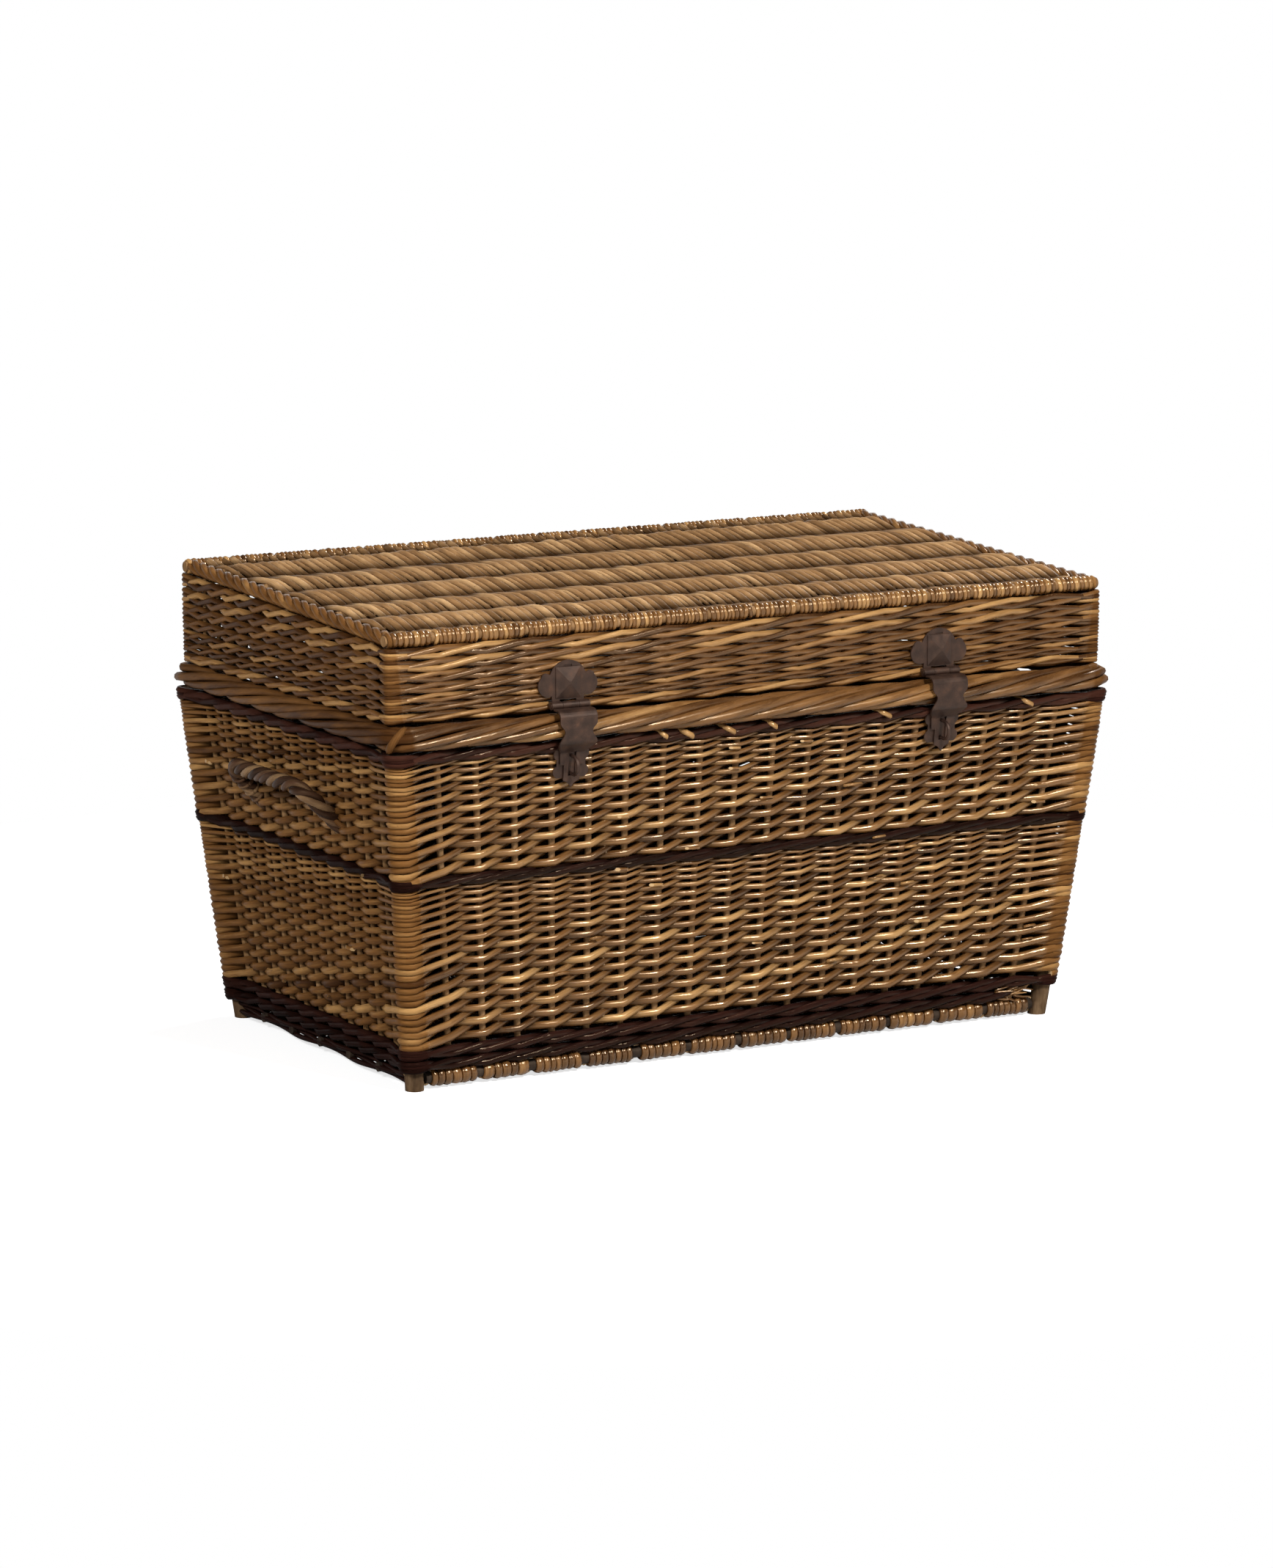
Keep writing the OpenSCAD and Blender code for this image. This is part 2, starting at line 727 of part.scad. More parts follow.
// The woven top: a sheet that swells over every stick and thins between them
module lid_weave() {
    y0 = 2 * roll_r + touch;
    n = len(panel_line);
    color(PALE) difference() {
        on_top() intersection() {
            translate([0, 0, -panel_mid]) rotate([90, 0, 90])
                linear_extrude(2 * panel_half, center = true) polygon(concat(panel_line,
                    [for (i = [n - 1 : -1 : 0]) [panel_line[i][0], -panel_line[i][1]]]));
            translate([-big / 2, y0, -big / 2]) cube([big, lid_run - 2 * y0, big]);
        }
        lid_stick_rods(lid_stick_d + 2 * touch, panel_half + 5);
    }
}

module lid_end_plaits() {
    y0 = 2 * roll_r + touch;
    color(WILLOW) on_top() for (side = ENDS) {
        rod([side * plait_x, y0, -plait_r], [side * plait_x, lid_run - y0, -plait_r], lid_plait_d);
    }
}

module lid_stake_rods(k, d) {
    n = lid_stake_n(k);
    half = lid_half(k + 1) - lid_ring_r;
    rotate(90 * k) for (i = [1 : n]) {
        translate([(2 * i / (n + 1) - 1) * half, -lid_half(k), lid_z - 20])
            cylinder(h = lid_front_h + lid_rise + 30, d = d);
    }
}

// Depth below the top face at which wall k of the lid ends
function lid_wall_depth(k) = (is_end(k) ? lid_plait_d : lid_roll_d) + touch;

module lid_wall(k) {
    half = lid_half(k + 1) - lid_ring_r - touch;
    z0 = lid_z + lid_edge_h + touch;
    color(WILLOW) difference() {
        intersection() {
            rotate(90 * k) translate([0, -lid_half(k), 0])
                rows(2 * half, z0, lid_z + lid_front_h + lid_rise - 6, 12,
                    lid_wall_t / 2, lid_wall_t / 2 - 1.8);
            under_top(lid_wall_depth(k));
        }
        if (is_end(k)) rail_rods(lid_roll_d + 2 * touch, lid_len);
        lid_stake_rods(k, lid_stake_d + 2 * hole_gap);
        if (!is_end(k)) at_pair(k) tangs(hole_gap);
    }
}

module lid_stakes() {
    color(PALE) for (k = [FRONT : LEFT]) intersection() {
        lid_stake_rods(k, lid_stake_d);
        under_top(lid_wall_depth(k) + touch);
        slice(lid_z + lid_edge_h + 2 * touch, big);
    }
}

module at_lid_corners(d, depth) {
    intersection() {
        for (sx = ENDS, sy = ENDS) {
            translate([sx * lid_half(RIGHT), sy * lid_half(FRONT), lid_z + lid_edge_h + touch])
                cylinder(h = lid_front_h + lid_rise + 30, d = d);
        }
        under_top(depth);
    }
}

module lid_posts() {
    color(WILLOW) at_lid_corners(lid_post_d, lid_roll_d + touch);
}

module lid_corner_wraps() {
    color(WILLOW) difference() {
        at_lid_corners(2 * lid_ring_r, lid_roll_d + touch);
        translate([0, 0, -1]) at_lid_corners(lid_post_d + 2 * touch, 0);
        at_lid_corners(lid_post_d + 2 * touch, 0);
    }
}

// The rods along the lid's lower edge, which rest on the border
module lid_edge() {
    color(WILLOW) for (k = [FRONT : LEFT]) rotate(90 * k) {
        out = (is_end(k) ? lid_len : lid_dep) / 2;
        run = (is_end(k) ? lid_dep : lid_len) / 2;
        r = lid_edge_h / 2;
        intersection() {
            union() {
                for (w = [r, lid_edge_w - r]) translate([-run, -out + w, lid_z + r])
                    rotate([0, 90, 0]) cylinder(h = 2 * run, r = r);
                translate([-run, -out + r, lid_z]) cube([2 * run, lid_edge_w - 2 * r, lid_edge_h]);
            }
            translate([0, 0, lid_z - 1]) mitre(run - touch, out, lid_edge_w, lid_edge_w, lid_edge_h + 2);
            translate([0, 0, lid_z - 1]) round_plan(run, out, 10, lid_edge_h + 2);
        }
    }
}

// ---- Nodes -----------------------------------------------------------------

corner_posts();
corner_wraps();
stakes(FRONT);  // stakes_front
stakes(RIGHT);  // stakes_right
stakes(BACK);  // stakes_back
stakes(LEFT);  // stakes_left
lower_weave(FRONT);  // lower_weave_front
lower_weave(RIGHT);  // lower_weave_right
lower_weave(BACK);  // lower_weave_back
lower_weave(LEFT);  // lower_weave_left
upper_weave(FRONT);  // upper_weave_front
upper_weave(RIGHT);  // upper_weave_right
upper_weave(BACK);  // upper_weave_back
upper_weave(LEFT);  // upper_weave_left
bottom_wale();
middle_wale();
top_wale();
border_side(FRONT);  // border_front
border_side(RIGHT);  // border_right
border_side(BACK);  // border_back
border_side(LEFT);  // border_left
base_rails();
base_rail_wraps();
base_sticks();
base_weave();
handle(LEFT);  // handle_left
handle(RIGHT);  // handle_right
staple_plates();
staples();
hinge_straps();
hinge_nails();
lid_rails();
lid_rail_wraps();
lid_sticks();
lid_weave();
lid_end_plaits();
lid_wall(FRONT);  // lid_wall_front
lid_wall(RIGHT);  // lid_wall_right
lid_wall(BACK);  // lid_wall_back
lid_wall(LEFT);  // lid_wall_left
lid_posts();
lid_corner_wraps();
lid_stakes();
lid_edge();
hasp_plates();
pins(FRONT);  // hasp_pins
hinge_plates();
pins(BACK);  // hinge_pins
hasp(-1);  // hasp_left
hasp(1);  // hasp_right
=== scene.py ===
# %% [markdown]
# # Willow laundry hamper
# The hamper is a tapered willow chest with a hinged lid, two iron hasps at the front and a roped handle at
# each end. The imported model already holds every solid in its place, in metres. This lesson dresses it:
# willow rods are laid where a basket maker lays them, and the ironwork gets its rust.

# %% Load the frame
import math
import bpy
import numpy as np
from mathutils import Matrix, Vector


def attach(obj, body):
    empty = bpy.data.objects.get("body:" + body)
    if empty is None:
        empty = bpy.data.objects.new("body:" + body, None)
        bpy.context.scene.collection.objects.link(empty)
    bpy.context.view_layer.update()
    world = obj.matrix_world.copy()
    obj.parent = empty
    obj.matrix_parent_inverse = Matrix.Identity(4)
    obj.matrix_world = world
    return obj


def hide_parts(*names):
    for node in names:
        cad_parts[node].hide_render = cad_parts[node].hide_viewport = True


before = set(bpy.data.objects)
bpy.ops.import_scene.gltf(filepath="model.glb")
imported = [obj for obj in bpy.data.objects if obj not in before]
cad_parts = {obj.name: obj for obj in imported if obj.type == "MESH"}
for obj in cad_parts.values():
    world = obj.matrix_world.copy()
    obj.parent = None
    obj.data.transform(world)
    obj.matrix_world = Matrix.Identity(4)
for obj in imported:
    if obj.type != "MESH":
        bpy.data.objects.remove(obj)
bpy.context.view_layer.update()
mm = 0.001

# %% [markdown]
# ## Measures of the chest
# The chest flares: it is longer and wider at its rim than at the floor. Each wall could be measured on the
# solids, but five numbers give every wall at every height. The first four are half the length and half the
# width between the post centres at the floor, and what each grows by up to the rim, in millimetres. The
# height of the rim is in metres, as all other places are.

# %% Measures of the chest
foot_x, foot_y = 408.5, 218
flare_x, flare_y = 41.5, 45.5
rim_z = 0.386
print("half the chest at the rim:", foot_x + flare_x, "by", foot_y + flare_y, "mm")

# %% [markdown]
# ## Camera
# The hamper is seen from its front left, a little from above, with a long lens that keeps its edges nearly
# parallel. The camera could be put at a point in space, but two angles and a distance from the point that
# it looks at are easier to judge, so its place is worked out from those.

# %% Camera
turn, tilt, away = math.radians(-29.3), math.radians(10.2), 6.8059
aim = Vector((-0.0055, 0.0, 0.262))
back = Vector((math.sin(turn) * math.cos(tilt), -math.cos(turn) * math.cos(tilt), math.sin(tilt)))
bpy.ops.object.camera_add(location=aim + back * away)
camera = bpy.context.object
camera.name = "Camera"
camera.rotation_euler = (-back).to_track_quat("-Z", "Y").to_euler()
camera.data.sensor_width = 36
camera.data.lens = 134.70702
camera.data.shift_y = 0.006548176
camera.data.clip_end = 60
bpy.context.scene.camera = camera
print("camera at", [round(v, 3) for v in camera.location])

# %% [markdown]
# ## Node helper
# A procedural finish is a small tree of nodes. Set up one by one, each node takes four or five lines, and
# the recipe is lost among them. This helper adds a node, sets it and feeds its inputs in one go, so that
# every finish below reads like a list of what goes into it.

# %% Node helper
class Paint:
    """The node tree of a material or a sky, with short ways to add the nodes that the finishes share."""
    def __init__(self, owner):
        owner.use_nodes = True
        self.nodes, self.links = owner.node_tree.nodes, owner.node_tree.links

    def fill(self, node, inputs):
        """Feeds a node's inputs, by name or number, from another node's output or with a plain value."""
        for name, value in inputs.items():
            if hasattr(value, "is_linked"):
                self.links.new(value, node.inputs[name])
            else:
                node.inputs[name].default_value = value

    def add(self, kind, inputs, output=0, **settings):
        """Adds a node and gives back one of its outputs, or all of them where 'output' is None."""
        node = self.nodes.new("ShaderNode" + kind)
        for name, value in settings.items():
            setattr(node, name, value)
        self.fill(node, inputs)
        return node.outputs if output is None else node.outputs[output]

    def maths(self, operation, *values):
        """Arithmetic on outputs and plain numbers."""
        return self.add("Math", dict(enumerate(values)), operation=operation)

    def scaled(self, value, low, high, out_low, out_high):
        """Maps a value from one range to another, and holds it there."""
        ranges = {"From Min": low, "From Max": high, "To Min": out_low, "To Max": out_high}
        return self.add("MapRange", {"Value": value, **ranges})

    def noise(self, source, scale, detail, stretch=(1, 1, 1)):
        """Noise on a coordinate, stretched along its axes."""
        place = self.add("Mapping", {"Vector": source, "Scale": stretch})
        return self.add("TexNoise", {"Vector": place, "Scale": scale, "Detail": detail}, "Fac")

    def mix(self, kind, factor, a, b):
        """Mixes two colours; each input is an output of another node or a plain value."""
        return self.add("Mix", {0: factor, 6: a, 7: b}, 2, data_type="RGBA", blend_type=kind)

    def ramp(self, value, stops):
        """A colour ramp with the given (place, colour) stops."""
        node = self.nodes.new("ShaderNodeValToRGB")
        while len(node.color_ramp.elements) < len(stops):
            node.color_ramp.elements.new(0.5)
        for element, (place, colour) in zip(node.color_ramp.elements, stops):
            element.position = place
            element.color = (*colour, 1)
        self.fill(node, {0: value})
        return node.outputs[0]

    def onlookers(self):
        """Two masks: the camera with reflections and views through glass, and the camera alone."""
        rays = self.add("LightPath", {}, None)
        camera_ray = rays["Is Camera Ray"]
        either = self.maths("MAXIMUM", camera_ray, rays["Is Glossy Ray"])
        return self.maths("MAXIMUM", either, rays["Is Transmission Ray"]), camera_ray

print("node helper ready")

# %% [markdown]
# ## Studio
# The hamper stands on a plain pale floor before a white sky. White could come from strong light, but that
# would wash out the weave. So the floor and the sky only look white to the camera and in reflections, and
# they don't throw that white back at the hamper: the shadow between its feet stays. Three lamps of half a
# metre or a little more stand a few metres away. Small, distant lamps keep the gaps between the rods dark
# and put short glints on the varnish, where broad ones would veil both.

# %% Floor
white, pale_floor, floor_glow = (1, 1, 1, 1), (0.62, 0.62, 0.62, 1), 0.72
shadow_reach, floor_end = 0.8, 1.5

bpy.ops.mesh.primitive_plane_add(size=60, location=(0, 0, 0))
floor = bpy.context.object
floor.name = "Floor"
floor_paint = bpy.data.materials.new("Floor_paint")
paint = Paint(floor_paint)
onlooker, camera_ray = paint.onlookers()
shader = paint.nodes["Principled BSDF"]
glow = paint.maths("MULTIPLY", camera_ray, floor_glow)
paint.fill(shader, {"Base Color": pale_floor, "Roughness": 0.9, "Specular IOR Level": 0.1,
                    "Emission Color": white, "Emission Strength": glow})
far = paint.add("VectorMath", {0: paint.add("TexCoord", {}, "Object")}, "Value", operation="LENGTH")
fade = paint.scaled(far, shadow_reach, floor_end, 0.0, 1.0)
bare = paint.add("Emission", {"Color": white, "Strength": 1.0})
both = paint.add("MixShader", {0: paint.maths("MULTIPLY", fade, onlooker), 1: shader.outputs[0], 2: bare})
paint.fill(paint.nodes["Material Output"], {"Surface": both})
floor.data.materials.append(floor_paint)
print("floor fades to white between", shadow_reach, "and", floor_end, "m")

# %% Sky
sky_light, horizon = 0.07, 0.25

sky = bpy.data.worlds.new("Sky")
bpy.context.scene.world = sky
paint = Paint(sky)
onlooker, camera_ray = paint.onlookers()
soft_light = paint.nodes["Background"]
paint.fill(soft_light, {"Color": white, "Strength": sky_light})
white_sky = paint.add("Background", {"Color": white, "Strength": 1.0})
height = paint.add("SeparateXYZ", {0: paint.add("TexCoord", {}, "Generated")}, "Z")
low_sky = paint.maths("MULTIPLY", onlooker, paint.maths("LESS_THAN", height, horizon))
seen = paint.maths("MAXIMUM", low_sky, camera_ray)
blend = paint.add("MixShader", {0: seen, 1: soft_light.outputs[0], 2: white_sky})
paint.fill(paint.nodes["World Output"], {"Surface": blend})
bpy.context.scene.view_settings.view_transform = "Standard"
print("sky lights the hamper at", sky_light)

# %% Lamps
def lamp(name, place, target, size, power):
    """A square area lamp that looks at a point."""
    bpy.ops.object.light_add(type="AREA", location=place)
    light = bpy.context.object
    light.name = name
    light.data.size = size
    light.data.energy = power
    light.rotation_euler = (Vector(target) - Vector(place)).to_track_quat("-Z", "Y").to_euler()
    print(name, power, "W")

lamp("Lamp_key", (0.35, -3.45, 3.2), (0, 0, 0.25), 0.5, 214)
lamp("Lamp_left", (-3.4, -1.8, 2.4), (0, 0, 0.3), 0.8, 120)
lamp("Lamp_top", (2.0, 1.0, 2.6), (0, 0, 0.4), 0.7, 66)

# %% [markdown]
# ## Willow finishes
# The willow is varnished and old: each rod has its own brown, with streaks along it, dark specks, and dirt
# and painted shade in the depths of the weave, and its cut ends are pale. One colour for all would look like
# plastic, and a texture picture would repeat. So every rod carries a colour attribute, Tone, that says how
# light the rod is, what is a fresh cut and how far out it lies in the weave, and one recipe reads it and
# paints shade where a rod lies deep. On the end walls the varnish has worn off, so the recipe makes them
# rougher and duller, and in the depths, where no lamp reaches, it leaves hardly any shine.

# %% Marks in willow
end_from, end_to = 0.393, 0.398

def rod_marks(paint):
    """Grain, patches and specks that run along a rod, and the three values of its Tone attribute."""
    along = paint.add("UVMap", {}, uv_map="Rod")
    grain = paint.noise(along, 1.0, 4.0, (900, 60, 1))
    patch = paint.noise(along, 1.0, 3.0, (120, 22, 1))
    speckle = paint.noise(along, 1.0, 2.0, (420, 190, 1))
    attribute = paint.add("VertexColor", {}, layer_name="Tone")
    tone, cut, deep = paint.add("SeparateColor", {0: attribute}, None)
    return grain, patch, speckle, tone, cut, deep

def solid_marks(paint, place):
    """The same marks on a solid, with the grain upright. Its patches are its tone."""
    grain = paint.noise(place, 1.0, 4.0, (700, 700, 70))
    patch = paint.noise(place, 1.0, 3.0, (90, 90, 30))
    speckle = paint.noise(place, 260.0, 2.0)
    return grain, patch, speckle, patch, None, None

def on_ends(paint, place):
    """One on the two end walls, where the varnish has worn off, and zero elsewhere."""
    x, _, z = paint.add("SeparateXYZ", {0: place}, None)
    upright = paint.maths("MULTIPLY_ADD", z, -flare_x * mm / rim_z, paint.maths("ABSOLUTE", x))
    return paint.scaled(upright, end_from, end_to, 0.0, 1.0)

print("the worn ends begin", end_from, "m from the middle at the floor")

# %% Willow recipe
# The second colour is dirt and painted shade: the recipe darkens the deep parts of the weave towards it.
speck_brown, dirt_and_painted_shade, fresh_cut = (0.02, 0.012, 0.008, 1), (0.07, 0.045, 0.03, 1), (0.42, 0.27, 0.13, 1)
streaks = ((0.3, (0.55, 0.5, 0.46)), (0.62, (1.1, 1.08, 1.05)))
worn_rougher = 0.16

def willow(name, tones, rough, speck=0.5, on_rods=True, gloss=0.45, worn_gloss=0.05):
    """Varnished willow in a dark, a middle and a light tone. 'gloss' is its shine, less on the worn ends."""
    material = bpy.data.materials.new(name)
    paint = Paint(material)
    place = paint.add("TexCoord", {}, "Object")
    grain, patch, speckle, tone, cut, deep = rod_marks(paint) if on_rods else solid_marks(paint, place)
    tone = paint.maths("ADD", tone, paint.scaled(patch, 0.25, 0.75, -0.22, 0.22))
    colour = paint.ramp(tone, tuple(zip((0.0, 0.5, 1.0), tones)))
    colour = paint.mix("MULTIPLY", 0.55, colour, paint.ramp(grain, streaks))
    colour = paint.mix("MIX", paint.scaled(speckle, 0.69, 0.74, 0.0, speck), colour, speck_brown)
    worn = on_ends(paint, place)
    shine = paint.scaled(worn, 0.0, 1.0, gloss, worn_gloss)
    if on_rods:
        # Painted shade, partly dirt: the deeper a rod lies in the weave, the more its colour is pulled
        # towards dark brown.
        colour = paint.mix("MULTIPLY", paint.scaled(deep, 0.0, 0.85, 0.96, 0.0), colour, dirt_and_painted_shade)
        colour = paint.mix("MIX", cut, colour, fresh_cut)
        shine = paint.maths("MULTIPLY", shine, paint.scaled(deep, 0.1, 0.75, 0.08, 1.0))
    matt = paint.maths("MULTIPLY_ADD", worn, worn_rougher, paint.scaled(patch, 0.3, 0.7, *rough))
    bump = paint.add("Bump", {"Strength": 0.35, "Distance": 0.0006, "Height": grain})
    paint.fill(paint.nodes["Principled BSDF"], {
        "Base Color": colour, "Roughness": matt, "Specular IOR Level": shine,
        "Specular Tint": (1.0, 0.74, 0.48, 1), "Normal": bump})
    return material

print("willow recipe ready")

# %% Willow on rods
brown = (0.05, 0.019, 0.0055), (0.165, 0.073, 0.021), (0.40, 0.222, 0.08)
pale = (0.12, 0.062, 0.024), (0.31, 0.17, 0.070), (0.52, 0.32, 0.15)
black_brown = (0.008, 0.0030, 0.0022), (0.018, 0.0062, 0.0045), (0.042, 0.015, 0.0095)
hand_worn = (0.022, 0.010, 0.006), (0.075, 0.036, 0.019), (0.30, 0.185, 0.09)
brown_willow = willow("Brown_willow", brown, (0.16, 0.28), gloss=1.0)
rim_willow = willow("Rim_willow", brown, (0.22, 0.36), gloss=0.75)
pale_willow = willow("Pale_willow", pale, (0.36, 0.55), gloss=0.3)
dark_willow = willow("Dark_willow", black_brown, (0.1, 0.2), 0.2, gloss=0.14, worn_gloss=0.01)
handle_willow = willow("Handle_willow", hand_worn, (0.2, 0.36), gloss=0.5, worn_gloss=0.13)
print("five finishes for rods")

# %% Willow on solids
bare_wood = (0.10, 0.052, 0.022), (0.21, 0.115, 0.048), (0.34, 0.205, 0.10)
grey_wood = (0.045, 0.027, 0.015), (0.10, 0.060, 0.032), (0.17, 0.11, 0.062)
black_wood = (0.012, 0.009, 0.008), (0.03, 0.021, 0.016), (0.06, 0.042, 0.03)
post_willow = willow("Post_willow", bare_wood, (0.4, 0.6), 0.4, False, gloss=0.3)
foot_wood = willow("Foot_wood", grey_wood, (0.45, 0.6), 0.4, False, gloss=0.2)
dark_stick = willow("Dark_stick", black_wood, (0.4, 0.6), 0.2, False, gloss=0.2)
print("three finishes for solids")

# %% [markdown]
# ## Rods
# A willow rod is round, thicker at its butt than at its tip, and bends smoothly. Hundreds of them cross
# each other in a fixed order. A curve with a bevel could make one, but it can't lie flat against its
# neighbours or carry a tone. So a small helper sweeps a ring of six or eight sides along a centre line,
# closes both ends and writes the rod's tone. Everything woven is laid with it.

# %% Lines
rng = np.random.default_rng(17)

def directions(line):
    """The direction of a line at each of its points."""
    run = np.gradient(line, axis=0)
    return run / np.linalg.norm(run, axis=1)[:, None]

def lengths(line):
    """How far along a line each of its points lies."""
    return np.concatenate([[0], np.cumsum(np.linalg.norm(np.diff(line, axis=0), axis=1))])

def wavy(x, y, z):
    """A slow unevenness of about one unit, the same for neighbours, so that rods swerve together."""
    return (0.5 * np.sin(31 * x + 47 * z + 1.0) + 0.3 * np.sin(73 * x - 29 * y + 91 * z + 2.0)
            + 0.3 * np.sin(61 * y - 53 * z + 0.5))

print("line helpers ready")

# %% Rod helper
class Bundle:
    """Many rods gathered into one piece. 'cut_end' is the Tone of a cut: light, fresh and far out."""
    cut_end = (0.6, 1.0, 1.0, 1.0)

    def __init__(self, name, sides=6):
        self.name, self.sides = name, sides
        self.angle = 2 * math.pi * np.arange(sides) / sides
        self.points, self.quads, self.caps, self.uv, self.tone = [], [], [], [], []
        self.count = 0

    def lay(self, line, radius, hint, tone, flat=1.0, deep=1.0, slant=0.0):
        """Sweeps a ring along a line, upright along 'hint'. 'flat' narrows it, 'slant' skews its ends."""
        line = np.asarray(line, float)
        n, k = len(line), self.sides
        radius = np.broadcast_to(np.asarray(radius, float), n)
        run = directions(line)
        across = np.cross(run, np.broadcast_to(hint, (n, 3)))
        across /= np.linalg.norm(across, axis=1)[:, None]
        over = np.cross(across, run)
        cos, sin = np.cos(self.angle), np.sin(self.angle)
        ring = across[:, None] * cos[None, :, None] * flat + over[:, None] * sin[None, :, None]
        place = line[:, None] + ring * radius[:, None, None]
        if slant:
            for end, way in ((0, -1), (-1, 1)):
                place[end] += run[end] * (cos * slant * radius[end])[:, None] * way
        self.points.append(place.reshape(-1, 3))
        i, j = np.meshgrid(np.arange(n - 1), np.arange(k), indexing="ij")
        beside = (j + 1) % k
        corners = np.stack([i * k + j, (i + 1) * k + j, (i + 1) * k + beside, i * k + beside], -1)
        self.quads.append((self.count + corners).reshape(-1, 4))
        self.caps.append(self.count + np.arange(k))
        self.caps.append(self.count + (n - 1) * k + np.arange(k)[::-1])
        self.mark(line, radius, tone, deep, i, j)
        self.count += n * k

    def mark(self, line, radius, tone, deep, i, j):
        """The rod's own map, round it and along it from a chance start, and its tone and depth by corner."""
        length = lengths(line) + rng.uniform(0, 9)
        wide = 2 * math.pi * radius.mean() / self.sides
        u = rng.uniform(0, 3) + np.stack([j, j, j + 1, j + 1], -1) * wide
        v = np.stack([length[i], length[i + 1], length[i + 1], length[i]], -1)
        self.uv.append(np.stack([u, v], -1).reshape(-1, 2))
        deep = np.broadcast_to(np.asarray(deep, float), len(line))
        level = np.stack([deep[i], deep[i + 1], deep[i + 1], deep[i]], -1).reshape(-1)
        uncut, full = np.zeros_like(level), np.ones_like(level)
        self.tone.append(np.stack([np.full_like(level, tone), uncut, level, full], -1))

    def mesh(self):
        """One mesh of all the rods, with their map and their Tone attribute."""
        k, quads, caps = self.sides, np.concatenate(self.quads), np.stack(self.caps)
        mesh = bpy.data.meshes.new(self.name)
        loops = np.concatenate([quads.ravel(), caps.ravel()])
        mesh.vertices.add(self.count)
        mesh.vertices.foreach_set("co", np.concatenate(self.points).astype(np.float32).ravel())
        mesh.loops.add(len(loops))
        mesh.loops.foreach_set("vertex_index", loops.astype(np.int32))
        mesh.polygons.add(len(quads) + len(caps))
        starts = np.concatenate([np.arange(len(quads)) * 4, len(quads) * 4 + np.arange(len(caps)) * k])
        mesh.polygons.foreach_set("loop_start", starts.astype(np.int32))
        smooth = np.concatenate([np.ones(len(quads), bool), np.zeros(len(caps), bool)])
        mesh.polygons.foreach_set("use_smooth", smooth)
        cap_uv = np.tile(np.stack([np.cos(self.angle), np.sin(self.angle)], -1) * 3 * mm, (len(caps), 1))
        uv = mesh.uv_layers.new(name="Rod")
        uv.data.foreach_set("uv", np.concatenate([*self.uv, cap_uv]).astype(np.float32).ravel())
        cap_tone = np.tile(self.cut_end, (caps.size, 1))
        tone = mesh.color_attributes.new("Tone", "FLOAT_COLOR", "CORNER")
        tone.data.foreach_set("color", np.concatenate([*self.tone, cap_tone]).astype(np.float32).ravel())
        mesh.update(calc_edges=True)
        mesh.validate()
        print(self.name, len(caps) // 2, "rods,", len(quads) * 2 + len(caps) * (k - 2), "triangles")
        return mesh

    def make(self, material, body, nodes):
        """Makes one piece of the rods, which rides on a body and stands for CAD nodes."""
        piece = bpy.data.objects.new(self.name, self.mesh())
        bpy.context.scene.collection.objects.link(piece)
        piece.data.materials.append(material)
        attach(piece, body)
        if nodes:
            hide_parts(*nodes)

print("rod helper ready")

# %% [markdown]
# ## Walls
# Both the chest and the lid have four walls between corner posts, with stakes spread along each wall. Each
# rod could be drawn by its own points, but a basket maker simply works round the posts and stakes. So the
# helper counts stations: a post, the stakes of one wall, the next post and so on. A rod is told on which
# side it passes each station and how high, and the helper gives its centre line.

